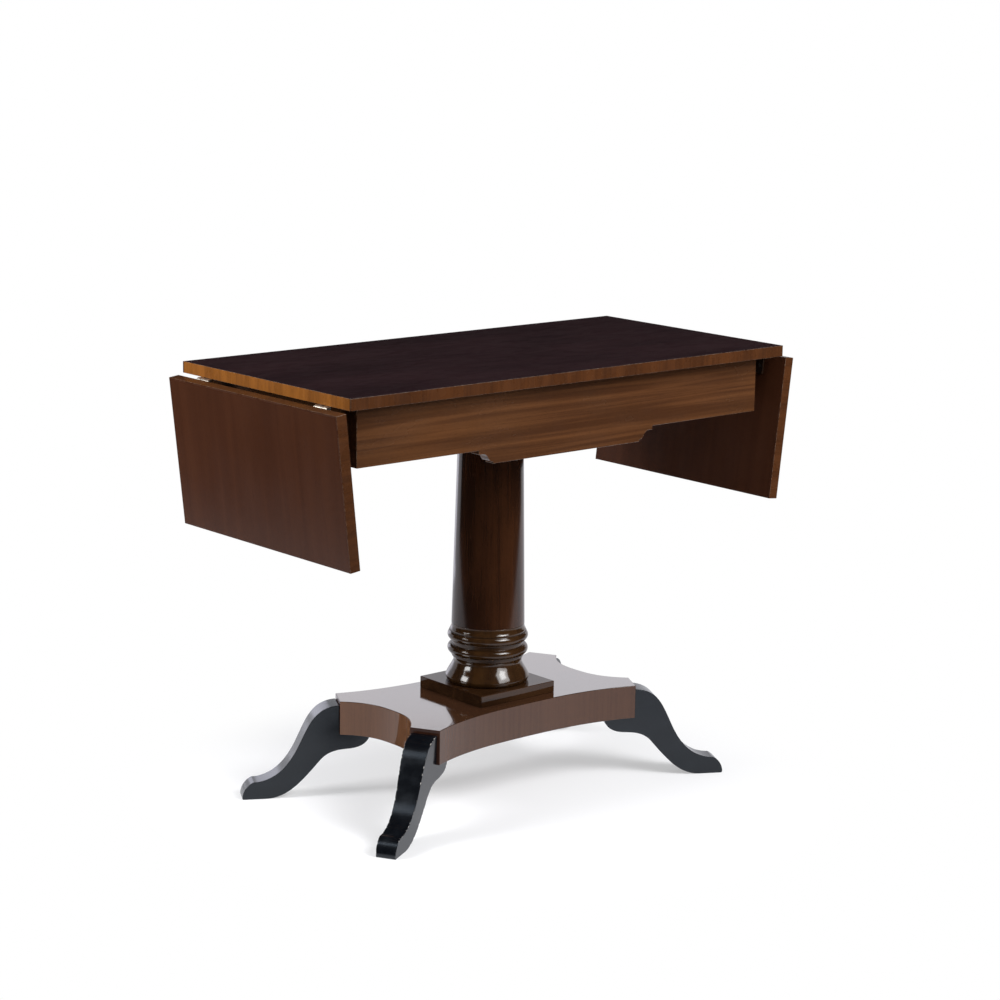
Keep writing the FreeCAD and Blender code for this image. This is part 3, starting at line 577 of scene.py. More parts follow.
class Finish(Nodes):
    """A new material with a Principled shader."""

    def __init__(self, name, roughness, shine=0.2, coat=0.0, coat_roughness=0.05):
        self.material = bpy.data.materials.new(name)
        super().__init__(self.material)
        self.shader = self.add("ShaderNodeBsdfPrincipled")
        self.join(self.shader.outputs["BSDF"], self.surface)
        self.shader.inputs["Roughness"].default_value = roughness
        self.shader.inputs["Specular IOR Level"].default_value = shine
        self.shader.inputs["Coat Weight"].default_value = coat
        self.shader.inputs["Coat Roughness"].default_value = coat_roughness

    def set_colour(self, source):
        """Colours the surface."""
        self.join(source, self.shader.inputs["Base Color"])

    def set_roughness(self, source):
        """Makes the surface unevenly rough."""
        self.join(source, self.shader.inputs["Roughness"])

    def set_bump(self, height, depth):
        """A relief that stands depth high where the height is 1."""
        bump = self.add("ShaderNodeBump")
        bump.inputs["Strength"].default_value = 1.0
        bump.inputs["Distance"].default_value = depth
        self.join(height, bump.inputs["Height"])
        self.join(bump.outputs["Normal"], self.shader.inputs["Normal"])


# Length and width of the woods' fibres and pores
FIBRE_SIZE = (0.07, 0.0011)
PORE_SIZE = (0.009, 0.00042)
# Noise levels between which a pore shows, how much it shows, and its tone beside the wood's dark tone
PORE_LEVELS = (0.62, 0.74)
PORE_SHARE = 0.45
PORE_TONE = 0.35
# Levels of the figure between which wood goes from its dark tone to its light one, and how far they drift
TONE_LEVELS = (0.30, 0.70)
TONE_DRIFT = 0.5
# Length of the uneven stretches of a worn arris, and the levels between which bare wood shows there
WEAR_PATCH = 0.004
WEAR_LEVELS = (0.30, 0.55)
# Shares of a point in a flat face between which an edge band goes over into the face veneer
BAND_FACE_LEVELS = (0.55, 0.95)
# Wear between which the platform's veneer goes over into its dark arrises
DARK_ARRIS_LEVELS = (0.3, 0.9)
# Noise levels between which lacquer is rubbed thin, and between which it is chipped off near an arris
RUB_LEVELS = (0.45, 0.75)
CHIP_LEVELS = (0.43, 0.49)
# Depth of a chip, the relief of brush marks beside it, and the roughness of the ground in it
CHIP_DEPTH = 0.00012
BRUSH_RELIEF = 0.15
CHIP_ROUGHNESS = 0.4
# Distances from a hinge's pin between which the plated knuckle goes over into the flap, whose dark brown is
# painted shade
KNUCKLE_EDGE = (0.0048, 0.0062)
# Noise levels between which metal is dulled, its tone there, and its least and greatest roughness
# beside the mean
DULL_LEVELS = (0.45, 0.75)
DULL_TONE = 0.55
SCRATCH_ROUGHNESS = (0.8, 1.4)


def wood_colour(finish, source, light, dark, ribbon, fibre_share=0.35, cloud=0.11):
    """Two tones of wood in broad ribbons of that length and width, with fine fibres, slow drift over
    clouds of that width, and dark pores. The pores' noise comes with it."""
    broad = finish.streaks(source, *ribbon, detail=3.0, distortion=0.6)
    fine = finish.streaks(source, *FIBRE_SIZE, detail=3.0, shift=3.1)
    cloudy = finish.streaks(source, cloud * 2, cloud, detail=1.0, shift=7.7)
    figure = finish.math("ADD", finish.math("MULTIPLY", broad, 1 - fibre_share),
                         finish.math("MULTIPLY", fine, fibre_share))
    drift = finish.math("MULTIPLY", finish.math("SUBTRACT", cloudy, 0.5), TONE_DRIFT)
    tone = finish.blend(finish.spread(finish.math("ADD", figure, drift), *TONE_LEVELS), dark, light)
    pores = finish.streaks(source, *PORE_SIZE, detail=1.0, shift=11.3)
    pore_share = finish.spread(pores, *PORE_LEVELS, 0.0, PORE_SHARE)
    dark_pore = tuple(channel * PORE_TONE for channel in dark)
    return finish.blend(pore_share, tone, dark_pore), pores


def worn(finish, colour_source, bare, wear):
    """The colour with bare wood showing in uneven stretches along the arrises."""
    edge = finish.attribute("edge")
    uneven = finish.streaks(finish.place(), WEAR_PATCH, WEAR_PATCH, detail=3.0, shift=5.3)
    share = finish.spread(finish.math("MULTIPLY", edge, uneven), *WEAR_LEVELS, 0.0, wear)
    return finish.blend(share, colour_source, bare)


def veneered(finish, wood, bare, wear, pore_depth=0.00002, **figure):
    """Lays a veneer on a finish: its light and dark tone and figure, bare wood on the worn arrises, and
    pores of that depth."""
    face, pores = wood_colour(finish, finish.grain(), *wood, **figure)
    finish.set_colour(worn(finish, face, bare, wear))
    finish.set_bump(pores, -pore_depth)


def rubbed(finish, patch, roughness, shift, levels=(0.3, 0.7), detail=3.0, distortion=0.0):
    """Takes the roughness from one value to another in patches of that length and width."""
    rubs = finish.streaks(finish.grain(), *patch, detail, shift, distortion)
    finish.set_roughness(finish.spread(rubs, *levels, *roughness))


def tabletop_finish():
    """Very dark satin veneer with faint grain along the length and a few rubbed marks."""
    tone = colours()
    finish = Finish("tabletop_veneer", roughness=0.45, shine=0.02)
    veneered(finish, (tone.top_light, tone.top_dark), tone.band_light, wear=0.5, ribbon=(0.8, 0.020))
    rubbed(finish, patch=(0.05, 0.022), roughness=(0.45, 0.53), shift=2.2, levels=(0.35, 0.75), detail=4.0,
           distortion=1.0)
    return finish.material


def leaf_finish():
    """Red-brown satin veneer with its grain from the hinge to the outer edge."""
    tone = colours()
    finish = Finish("leaf_veneer", roughness=0.25, shine=0.13)
    veneered(finish, (tone.leaf_light, tone.leaf_dark), tone.band_light, wear=0.5, ribbon=(0.7, 0.030),
             fibre_share=0.15)
    rubbed(finish, patch=(0.09, 0.05), roughness=(0.22, 0.27), shift=4.2)
    return finish.material


def band_finish(name, light, dark, face_light, face_dark):
    """Cross-grained banding on the outer side, and the face veneer running over its flat faces."""
    finish = Finish(name, roughness=0.3, shine=0.15)
    across, pores = wood_colour(finish, finish.grain(), light, dark, ribbon=(0.09, 0.011),
                                fibre_share=0.45, cloud=0.06)
    face = wood_colour(finish, finish.place(), face_light, face_dark, ribbon=(0.8, 0.020))[0]
    on_face = finish.spread(finish.attribute("cap"), *BAND_FACE_LEVELS)
    finish.set_colour(worn(finish, finish.blend(on_face, across, face), colours().bare_wood, wear=0.25))
    rubbed(finish, patch=(0.03, 0.03), roughness=(0.22, 0.34), shift=1.2)
    finish.set_bump(pores, depth=-0.00003)
    return finish.material


def apron_finish():
    """Ribbon-striped mahogany with wavy stripes along the rail."""
    tone = colours()
    finish = Finish("apron_mahogany", roughness=0.22, shine=0.3)
    veneered(finish, (tone.apron_light, tone.apron_dark), tone.bare_wood, wear=0.4, pore_depth=0.00003,
             ribbon=(0.45, 0.0100), fibre_share=0.15, cloud=0.16)
    rubbed(finish, patch=(0.08, 0.03), roughness=(0.18, 0.28), shift=6.2)
    return finish.material


def column_finish():
    """Polished upright-grained veneer with slow changes from dark to red-brown."""
    tone = colours()
    finish = Finish("column_veneer", roughness=0.45, shine=0.0, coat=0.8, coat_roughness=0.12)
    veneered(finish, (tone.column_light, tone.column_dark), tone.bare_wood, wear=0.2, pore_depth=0.00003,
             ribbon=(0.6, 0.013), fibre_share=0.25, cloud=0.05)
    return finish.material


def turned_finish(name, light, dark, coat_roughness):
    """Very dark stained wood under a mirror polish."""
    finish = Finish(name, roughness=0.5, shine=0.0, coat=0.85, coat_roughness=coat_roughness)
    veneered(finish, (light, dark), colours().column_light, wear=0.25, ribbon=(0.20, 0.022),
             fibre_share=0.12, cloud=0.08)
    return finish.material


def platform_finish(name, light, dark, shine=0.0, coat_index=1.5):
    """Veneer with upright grain under a mirror polish, with dark arrises."""
    finish = Finish(name, roughness=0.06, shine=shine, coat=1.0, coat_roughness=0.03)
    finish.shader.inputs["Coat IOR"].default_value = coat_index
    wood, pores = wood_colour(finish, finish.grain(), light, dark, ribbon=(0.25, 0.006),
                              fibre_share=0.3, cloud=0.12)
    arris = finish.spread(finish.attribute("edge"), *DARK_ARRIS_LEVELS)
    finish.set_colour(finish.blend(arris, wood, colours().turned_dark))
    finish.set_bump(pores, depth=-0.00002)
    return finish.material


def lacquer_finish():
    """Black satin lacquer with faint brush marks, rubbed thin in places and chipped along its edges."""
    tone = colours()
    finish = Finish("black_lacquer", roughness=0.12, shine=0.5)
    # Painted reflection colour: the cool studio light is put into the lacquer's tint
    finish.shader.inputs["Specular Tint"].default_value = (*tone.lacquer_cool_reflection, 1.0)
    source = finish.grain()
    cloud = finish.streaks(source, long=0.06, wide=0.02, detail=4.0, shift=1.9)
    coat = finish.blend(finish.spread(cloud, *RUB_LEVELS), tone.lacquer, tone.lacquer_rub)
    edge = finish.attribute("edge")
    uneven = finish.streaks(finish.place(), long=0.006, wide=0.006, detail=4.0, shift=0.7)
    chips = finish.spread(finish.math("MULTIPLY", edge, uneven), *CHIP_LEVELS)
    finish.set_colour(finish.blend(chips, coat, tone.chipped_wood))
    brush = finish.streaks(source, long=0.05, wide=0.0012, shift=9.1)
    rubs = finish.spread(cloud, 0.3, 0.7, to_low=0.17, to_high=0.22)
    finish.set_roughness(finish.math("ADD", rubs, finish.math("MULTIPLY", chips, CHIP_ROUGHNESS)))
    relief = finish.math("SUBTRACT", finish.math("MULTIPLY", brush, BRUSH_RELIEF), chips)
    finish.set_bump(relief, CHIP_DEPTH)
    return finish.material


def plain_wood_finish(name, light, dark, turn):
    """Planed secondary wood on the frame's own pieces, with its grain along the axis that turn gives."""
    finish = Finish(name, roughness=0.6)
    mapping = finish.add("ShaderNodeMapping")
    mapping.inputs["Rotation"].default_value = turn
    finish.join(finish.place(), mapping.inputs["Vector"])
    wood, pores = wood_colour(finish, mapping.outputs["Vector"], light, dark, ribbon=(0.4, 0.009))
    finish.set_colour(wood)
    finish.set_bump(pores, depth=-0.00004)
    return finish.material


def metal_finish(name, metal, roughness):
    """Plated steel with fine scratches, dulled in patches. Its finish and its colour's node come back."""
    finish = Finish(name, roughness)
    finish.shader.inputs["Metallic"].default_value = 1.0
    place = finish.place()
    dull = finish.streaks(place, long=0.004, wide=0.004, detail=4.0)
    stain = tuple(channel * DULL_TONE for channel in metal)
    plated = finish.blend(finish.spread(dull, *DULL_LEVELS), metal, stain)
    finish.set_colour(plated)
    scratches = finish.streaks(place, long=0.02, wide=0.0004, shift=2.6)
    smooth, rough = (roughness * share for share in SCRATCH_ROUGHNESS)
    finish.set_roughness(finish.spread(scratches, 0.3, 0.7, smooth, rough))
    finish.set_bump(scratches, depth=0.00001)
    return finish, plated


def hinge_finish():
    """Plated knuckles round the pins, and flaps in a dark brown that is painted shade, matching the shade
    under the top where they show.
    """
    tone = colours()
    finish, plated = metal_finish("hinge_plate", tone.hinge_metal, roughness=0.35)
    pin_x, _, pin_z = joints["leaf_right_hinge"]["pos_m"]
    away = finish.vector("SUBTRACT", finish.vector("ABSOLUTE", finish.place()), (pin_x, 0.0, pin_z))
    distance = finish.vector("LENGTH", finish.vector("MULTIPLY", away, (1.0, 0.0, 1.0)))
    # Beyond the knuckles the flaps take the dark brown of painted shade
    finish.set_colour(finish.blend(finish.spread(distance, *KNUCKLE_EDGE), plated, tone.shaded_hinge_flap))
    return finish.material


# Shapes of single pieces

def apron_stretches():
    """The apron's outline in X and height: level edges, and a drop in the middle with a step, a ledge,
    an S-curve of two arcs and a lip on each side."""
    size = sizes()
    low, high = corners("apron_front")
    bottom = low[2] + size.drop_height
    ledge = bottom - size.drop_ledge_step
    curve_x = size.drop_half_width + size.drop_curve_run
    step_x = curve_x + size.drop_ledge
    foot = np.array([size.drop_half_width, low[2]])
    lip = np.array([size.drop_half_width, low[2] + size.drop_lip])
    head = np.array([curve_x, ledge])
    end = np.array([high[0], high[2]])
    middle = (lip + head) / 2
    curve = np.concatenate([arc(lip, middle, size.drop_curve_swell, count=9),
                            arc(middle, head, -size.drop_curve_swell, count=9)[1:]])
    outer = chain(head, (step_x, ledge), (step_x, bottom), (high[0], bottom), end)
    right = [*chain(foot, lip), curve, *outer]
    flip = np.array([-1.0, 1.0])
    left = [stretch[::-1] * flip for stretch in right[::-1]]
    return [*right, *chain(end, end * flip), *left, *chain(foot * flip, foot)]


def column_shaft_stretches():
    """The shaft's outline in radius and height: a straight taper with a spigot at each end and a bore."""
    size = sizes()
    low, high = corners("column_shaft")
    base_top = corners("column_base")[1][2]
    head = corners("column_bearer")[0][2]
    return polygon((size.bore_radius, low[2]), (size.spigot_radius, low[2]), (size.spigot_radius, base_top),
                   (size.column_foot_radius, base_top), (size.column_top_radius, head),
                   (size.spigot_radius, head), (size.spigot_radius, high[2]), (size.bore_radius, high[2]))


# Where the bulb's S-curve turns from full to hollow, as a share of the way up
BULB_TURN_SHARE = 0.55


def column_base_stretches():
    """The turned base's outline in radius and height: bulb on a foot arc and an S-curve, hollow cove, two
    rings with a round bead on a fillet, fillet and flare, then back down the socket and the bore."""
    size = sizes()
    low, high = corners("column_base")
    plinth_top = corners("plinth_block")[1][2]
    shaft_foot = corners("column_shaft")[0][2]
    fillet_top = high[2] - size.flare_height
    ring_top = fillet_top - size.fillet_height
    ring_pitch = size.ring_fillet_height + size.ring_height
    ring_middle = ring_top - ring_pitch
    band_bottom = ring_middle - size.ring_band_height
    ring_bottom = band_bottom - ring_pitch
    cove_top = ring_bottom - size.cove_head_height
    cove_bottom = cove_top - size.cove_height
    bulb_z = plinth_top + size.bulb_foot_height

    def ring(below, height):
        """A step from the place below to the ring's root at that height, its fillet and its round bead."""
        root = size.ring_root_radius
        bead_foot = (root, height + size.ring_fillet_height)
        bead_head = (root, height + ring_pitch)
        bead = arc(bead_foot, bead_head, size.ring_radius - root, count=26)
        return [*chain(below, (root, height), bead_foot), bead]

    foot_in = size.bulb_radius - size.bulb_foot_radius
    foot_arc = (size.bulb_foot_height ** 2 + foot_in ** 2) / (2 * foot_in)
    foot_turn = math.asin(size.bulb_foot_height / foot_arc)
    foot = arc_about((size.bulb_radius - foot_arc, bulb_z), foot_arc, -foot_turn, 0)
    bulb_top = np.array([size.bulb_top_radius, cove_bottom])
    turn = foot[-1] + (bulb_top - foot[-1]) * BULB_TURN_SHARE
    hollow = size.bulb_swell * (1 - BULB_TURN_SHARE) / BULB_TURN_SHARE
    bulb = np.concatenate([foot, arc(foot[-1], turn, size.bulb_swell)[1:], arc(turn, bulb_top, -hollow)[1:]])
    cove_head = (size.cove_head_radius, cove_top)
    ring_foot = (size.cove_head_radius, ring_bottom)
    band_foot = (size.ring_band_radius, band_bottom)
    band_head = (size.ring_band_radius, ring_middle)
    lower_ring = ring(ring_foot, ring_bottom)
    upper_ring = ring(band_head, ring_middle)
    flare_foot = (size.fillet_radius, fillet_top)
    shaft_edge = (size.column_foot_radius, high[2])
    fillet = chain(upper_ring[-1][-1], (size.fillet_radius, ring_top), flare_foot)
    inside = chain(shaft_edge, (size.spigot_radius, high[2]), (size.spigot_radius, shaft_foot),
                   (size.bore_radius, shaft_foot), (size.bore_radius, low[2]),
                   (size.spigot_radius, low[2]), (size.spigot_radius, plinth_top), bulb[0])
    return [bulb, arc(bulb_top, cove_head, -size.cove_hollow, count=12), *chain(cove_head, ring_foot),
            *lower_ring, *chain(lower_ring[-1][-1], band_foot, band_head), *upper_ring, *fillet,
            arc(flare_foot, shaft_edge, -size.flare_hollow, count=10), *inside]


# Power of the platform's hollow sides, the lean of its cants, and how far off a cant's line counts as on it
HOLLOW_POWER = 2.7
CANT_ANGLE = math.radians(29.0)
CANT_TOLERANCE = 0.002


def hollow_side(start, end, depth, inward, count=61):
    """A side from start to end that bows inward by depth at its middle, less by a power of the distance."""
    share = np.linspace(0, 1, count)[:, None]
    bow = depth * (1 - np.abs(2 * share - 1) ** HOLLOW_POWER)
    return start + (end - start) * share + np.array(inward) * bow


def cant_points():
    """The outer and inner ends of the back right canted corner."""
    size = sizes()
    outer = np.array([size.cant_outer_x, size.cant_outer_y])
    run = size.cant_width * np.array([-math.sin(CANT_ANGLE), math.cos(CANT_ANGLE)])
    return outer, outer + run


def platform_stretches():
    """The platform's outline: four hollow sides between four straight cants."""
    size = sizes()
    (x0, y0), (x1, y1) = cant_points()
    stretches = polygon((-x1, -y1), (x1, -y1), (x0, -y0), (x0, y0),
                        (x1, y1), (-x1, y1), (-x0, y0), (-x0, -y0))
    hollows = [(size.side_hollow_front, (0, 1)), (size.side_hollow_end, (-1, 0)),
               (size.side_hollow_front, (0, -1)), (size.side_hollow_end, (1, 0))]
    stretches[::2] = [hollow_side(*side, *hollow) for side, hollow in zip(stretches[::2], hollows)]
    return stretches


def platform_masks(surface):
    """Masks of the platform's faces that are its top, its two hollow ends and its four canted corners."""
    outer, inner = cant_points()
    along = (inner - outer) / np.linalg.norm(inner - outer)
    middles = np.abs(surface.points[np.array(surface.faces[:-2]), :2].mean(1))
    away = middles - (outer + inner) / 2
    across = np.abs(away @ np.array([along[1], -along[0]]))
    in_width = np.abs(away @ along) < sizes().cant_width / 2
    top, ends, cants = np.zeros((3, len(surface.faces)), bool)
    top[-1] = True
    ends[:-2] = middles[:, 1] < sizes().cant_outer_y
    cants[:-2] = in_width & (across < CANT_TOLERANCE)
    return top, ends, cants


# Knots of the leg's upper and lower S-curve, as shares of the leg's reach and of the curve's height
LEG_UPPER_SHAPE = [(0.193, 0.941), (0.343, 0.741), (0.482, 0.457), (0.675, 0.250)]
LEG_LOWER_SHAPE = [(0.518, 0.144), (0.361, 0.413), (0.241, 0.677), (0.145, 0.874), (0.0, 0.985)]
# Knots of the tongue's rounded end, as shares of its length and depth
LEG_TONGUE_SHAPE = [(0.36, 0.015), (0.80, 0.30)]
# Rounding of the leg's corners, as a multiple of the deepest nick and the margin beside it
LEG_CORNER_ROUNDING = 1.05
# Depth of a nick as a share of the arris radius, and how deep the nicks of each leg are beside that
NICK_DEPTH = 2.5
LEG_WEAR = {"front_left": 1.0}
LIGHT_WEAR = 0.2
# Waves that place the nicks, each with its length per radian and how often it takes the start angle
NICK_WAVES = ((0.0017, 1), (0.0043, 2), (0.0119, 1))
# Start angle of the second arris after the first, the level at which a nick begins and its rise to full depth
NICK_SHIFT = 2.1
NICK_LEVEL = 0.04
NICK_RISE = 0.2


def leg_stretches():
    """The scroll leg's outline, out from its canted corner and up: an S-curve above, a rounded toe, a flat
    sole, an S-curve below that ends in a tongue, and the seat against the platform."""
    size = sizes()
    seat = corners("platform_block")[0][2]
    tongue = seat - size.leg_tongue_depth
    instep = (size.leg_reach - size.leg_toe_run, size.leg_toe_height)
    toe_end = (size.leg_reach, 0.0)
    sole_end = (size.leg_reach - size.leg_sole_length, 0.0)
    corner = (0.0, seat)
    above = np.array(LEG_UPPER_SHAPE) * np.array([size.leg_reach, size.leg_rise])
    below = np.array(LEG_LOWER_SHAPE) * np.array([size.leg_reach, tongue])
    under = [(-size.leg_tongue_length * back, tongue + size.leg_tongue_depth * rise)
             for back, rise in LEG_TONGUE_SHAPE]
    top_curve = smooth_curve([(0, size.leg_rise), *above, instep], (1, 0), (1, 0))
    low_curve = smooth_curve([sole_end, *below, *under, (-size.leg_tongue_length, seat)], (-1, 0), (0, 1))
    toe = arc(toe_end, top_curve[-1], size.leg_toe_bulge, count=14)[::-1]
    return [np.concatenate([top_curve, toe[1:]]), np.concatenate([[toe_end], low_curve]),
            *chain(low_curve[-1], corner, top_curve[0])]


def nick_rows(points, start):
    """How far each arris of a loop is chipped, as a share of its radius: crests of three waves multiplied
    along it, cut off low."""
    steps = np.linalg.norm(np.diff(points, axis=0, prepend=points[-1:]), axis=1)
    along = np.cumsum(steps)
    rows = [np.prod([np.sin(along / wave + times * first) for wave, times in NICK_WAVES], axis=0)
            for first in (start, start + NICK_SHIFT)]
    return NICK_DEPTH * np.clip((np.array(rows) - NICK_LEVEL) / NICK_RISE, 0, 1)


def leg_surface(nick_start, wear):
    """The leg's outline carried across its thickness, which grows evenly from the floor to the top. Wear is
    the share of the full depth to which its arrises are nicked."""
    size = sizes()
    half = size.leg_top_thick / 2
    nicked = (1 + NICK_DEPTH) * size.leg_arris + size.leg_chip_margin
    loop = even_outline(leg_stretches(), size.leg_arris, nicked * LEG_CORNER_ROUNDING)
    nicks = wear * nick_rows(loop[0], nick_start)
    surface = prism(loop, -half, half, margin=size.leg_chip_margin, nicks=nicks)
    taper = size.leg_toe_thick / size.leg_top_thick
    points = surface.points.copy()
    points[:, 2] *= taper + (1 - taper) * np.clip(points[:, 1] / size.leg_rise, 0, 1)
    return surface._replace(points=points, grain=points)


def lowered(surface):
    """A raised right leaf's surface turned down about its pin to where it hangs: by a quarter turn and the
    angle at which the leaf's middle lies from the pin."""
    size = sizes()
    pin = np.array(joints["leaf_right_hinge"]["pos_m"], float)
    low, high = corners("top_edge_right")
    middle_out = size.leaf_length / 2 + size.leaf_gap - (pin[0] - high[0])
    middle_up = low[2] - pin[2] + (high[2] - low[2]) / 2
    angle = math.pi / 2 + math.atan2(middle_up, middle_out)
    cosine, sine = math.cos(angle), math.sin(angle)
    turn = np.array([[cosine, 0, -sine], [0, 1, 0], [sine, 0, cosine]])
    return surface._replace(points=(surface.points - pin) @ turn + pin)


def banded_board(x0, x1, z0, z1):
    """A board and its four edge bands, with their grain along X on the board and upright on the bands.
    Where pieces meet, their edges stay nearly sharp."""
    low, high = corners("top_edge_front")
    half, band = -low[1], high[1] - low[1]
    inner = half - band
    board = plank((x0 + band, -inner, z0), (x1 - band, inner, z1), (False, False, False, False))
    front = plank((x0, -half, z0), (x1, -inner, z1), (True, True, True, False))
    back = plank((x0, inner, z0), (x1, half, z1), (True, True, False, True))
    low_x = plank((x0, -inner, z0), (x0 + band, inner, z1), (True, False, False, False))
    high_x = plank((x1 - band, -inner, z0), (x1, inner, z1), (False, True, False, False))
    return {"board": board,
            "edge_front": with_grain(front, (2, 0, 1)), "edge_back": with_grain(back, (2, 0, 1)),
            "edge_low_x": with_grain(low_x, (2, 1, 0)), "edge_high_x": with_grain(high_x, (2, 1, 0))}


# Operators

# Shifts of the grain, so that like pieces don't show the same figure, and of the nicks from leg to leg
LEFT_LEAF_GRAIN = (2.3, 1.1, 0.7)
BACK_APRON_GRAIN = (1.7, 0.9, 0.3)
LEG_GRAIN = (0.9, 0.4)
LEG_NICKS = 0.4


class TABLE_OT_top(bpy.types.Operator):
    """Makes the fixed top's board and its four edge bands"""

    bl_idname = "table.top"
    bl_label = "Top"

    def execute(self, context):
        tone = colours()
        low, high = corners("top_edge_front")
        pieces = banded_board(low[0], high[0], low[2], high[2])
        face = (tone.top_light, tone.top_dark)
        long_band = band_finish("long_edge_band", tone.band_light, tone.band_dark, *face)
        # The end bands get lighter tones as painted light from the left lamp
        lit_end_band = band_finish("lit_end_edge_band", tone.lit_end_band_light, tone.lit_end_band_dark, *face)
        add_piece("Tabletop", pieces["board"], tabletop_finish(), "frame", ["top_board"])
        for key, side, finish in (("edge_front", "front", long_band), ("edge_back", "back", long_band),
                                  ("edge_low_x", "left", lit_end_band), ("edge_high_x", "right", lit_end_band)):
            add_piece("Top_band_" + side, pieces[key], finish, "frame", ["top_edge_" + side])
        return {"FINISHED"}


class TABLE_OT_leaves(bpy.types.Operator):
    """Makes the two hanging leaves, each a board with four edge bands"""

    bl_idname = "table.leaves"
    bl_label = "Leaves"

    def execute(self, context):
        size, tone = sizes(), colours()
        low, high = corners("top_edge_right")
        start = high[0] + size.leaf_gap
        raised = banded_board(start, start + size.leaf_length, low[2], high[2])
        face = leaf_finish()
        band = band_finish("leaf_edge_band", tone.band_light, tone.band_dark, tone.leaf_light, tone.leaf_dark)
        names = {"edge_low_x": "edge_hinge", "edge_high_x": "edge_outer"}
        turned_names = {**names, "edge_front": "edge_back", "edge_back": "edge_front"}
        for key, surface in raised.items():
            finish, slot = (face, "mahogany_leaf") if key == "board" else (band, "cross_band")
            right = lowered(surface)
            left = half_turned(lowered(shifted_grain(surface, LEFT_LEAF_GRAIN)))
            name = names.get(key, key)
            add_piece("Leaf_right_" + name, right, finish, "leaf_right", ["leaf_right_" + name])
            name = turned_names.get(key, key)
            add_piece("Leaf_left_" + name, left, finish, "leaf_left", ["leaf_left_" + name])
        return {"FINISHED"}


class TABLE_OT_aprons(bpy.types.Operator):
    """Makes the shaped front and back aprons and the two end rails"""

    bl_idname = "table.aprons"
    bl_label = "Aprons and end rails"

    def execute(self, context):
        finish = apron_finish()
        low, high = corners("apron_front")
        shape = prism(even_outline(apron_stretches(), sizes().arris), -high[1], -low[1])
        front = moved(shape, (0, 0, 0), (1, 0, 0), (0, 0, 1), (0, -1, 0))
        back = shifted_grain(half_turned(front), BACK_APRON_GRAIN)
        add_piece("Apron_front", front, finish, "frame", ["apron_front"])
        add_piece("Apron_back", back, finish, "frame", ["apron_back"])
        for side in ("right", "left"):
            rail = with_grain(plank(*corners("end_rail_" + side), (True, True, False, False)), (1, 2, 0))
            add_piece("End_rail_" + side, rail, finish, "frame", ["end_rail_" + side])
        return {"FINISHED"}


class TABLE_OT_inner_frame(bpy.types.Operator):
    """Gives the bearer, the cross rails, the corner blocks and the dowels their plain woods"""

    bl_idname = "table.inner_frame"
    bl_label = "Inner frame"

    def execute(self, context):
        tone = colours()
        quarter = math.pi / 2
        rails = plain_wood_finish("frame_wood", tone.frame_light, tone.frame_dark, (0, 0, -quarter))
        blocks = plain_wood_finish("block_wood", tone.frame_light, tone.frame_dark, (0, quarter, 0))
        dowels = plain_wood_finish("dowel_wood", tone.dowel_light, tone.dowel_dark, (0, 0, 0))
        dress(["column_bearer", "cross_rail_right", "cross_rail_left"], rails)
        dress(["corner_blocks"], blocks)
        dress(["leg_dowels"], dowels)
        return {"FINISHED"}


class TABLE_OT_column(bpy.types.Operator):
    """Turns the column's shaft and its moulded base"""

    bl_idname = "table.column"
    bl_label = "Column"

    def execute(self, context):
        size, tone = sizes(), colours()
        shaft = turned(even_outline(column_shaft_stretches(), size.turned_arris))
        base = turned(even_outline(column_base_stretches(), size.turned_arris))
        polish = turned_finish("turned_mahogany", tone.turned_light, tone.turned_dark, coat_roughness=0.11)
        add_piece("Column_shaft", shaft, column_finish(), "frame", ["column_shaft"])
        add_piece("Column_base", base, polish, "frame", ["column_base"])
        return {"FINISHED"}


class TABLE_OT_platform(bpy.types.Operator):
    """Makes the square plinth and the hollow-sided platform"""

    bl_idname = "table.platform"
    bl_label = "Plinth and platform"

    def execute(self, context):
        size, tone = sizes(), colours()
        low, high = corners("plinth_block")
        plinth = prism(even_outline(rectangle(low, high), size.polished_arris), low[2], high[2])
        polish = turned_finish("plinth_mahogany", tone.plinth_light, tone.plinth_dark, coat_roughness=0.04)
        add_piece("Plinth", plinth, polish, "frame", ["plinth_block"])
        low, high = corners("platform_block")
        platform = prism(even_outline(platform_stretches(), size.polished_arris), low[2], high[2])
        wood = (tone.platform_light, tone.platform_dark)
        sides = platform_finish("platform_veneer", *wood)
        top = platform_finish("platform_top_veneer", *wood, shine=1.0, coat_index=2.0)
        cants = platform_finish("platform_cant_veneer", tone.cant_light, tone.cant_dark, coat_index=1.3)
        # The ends' lighter veneer is painted light from the left lamp
        ends = platform_finish("platform_end_lit_veneer", tone.lit_platform_end_light, tone.lit_platform_end_dark)
        others = zip((top, ends, cants), platform_masks(platform))
        add_piece("Platform", with_grain(platform, (2, 0, 1)), sides, "frame",
                  ["platform_block"], others)
        return {"FINISHED"}


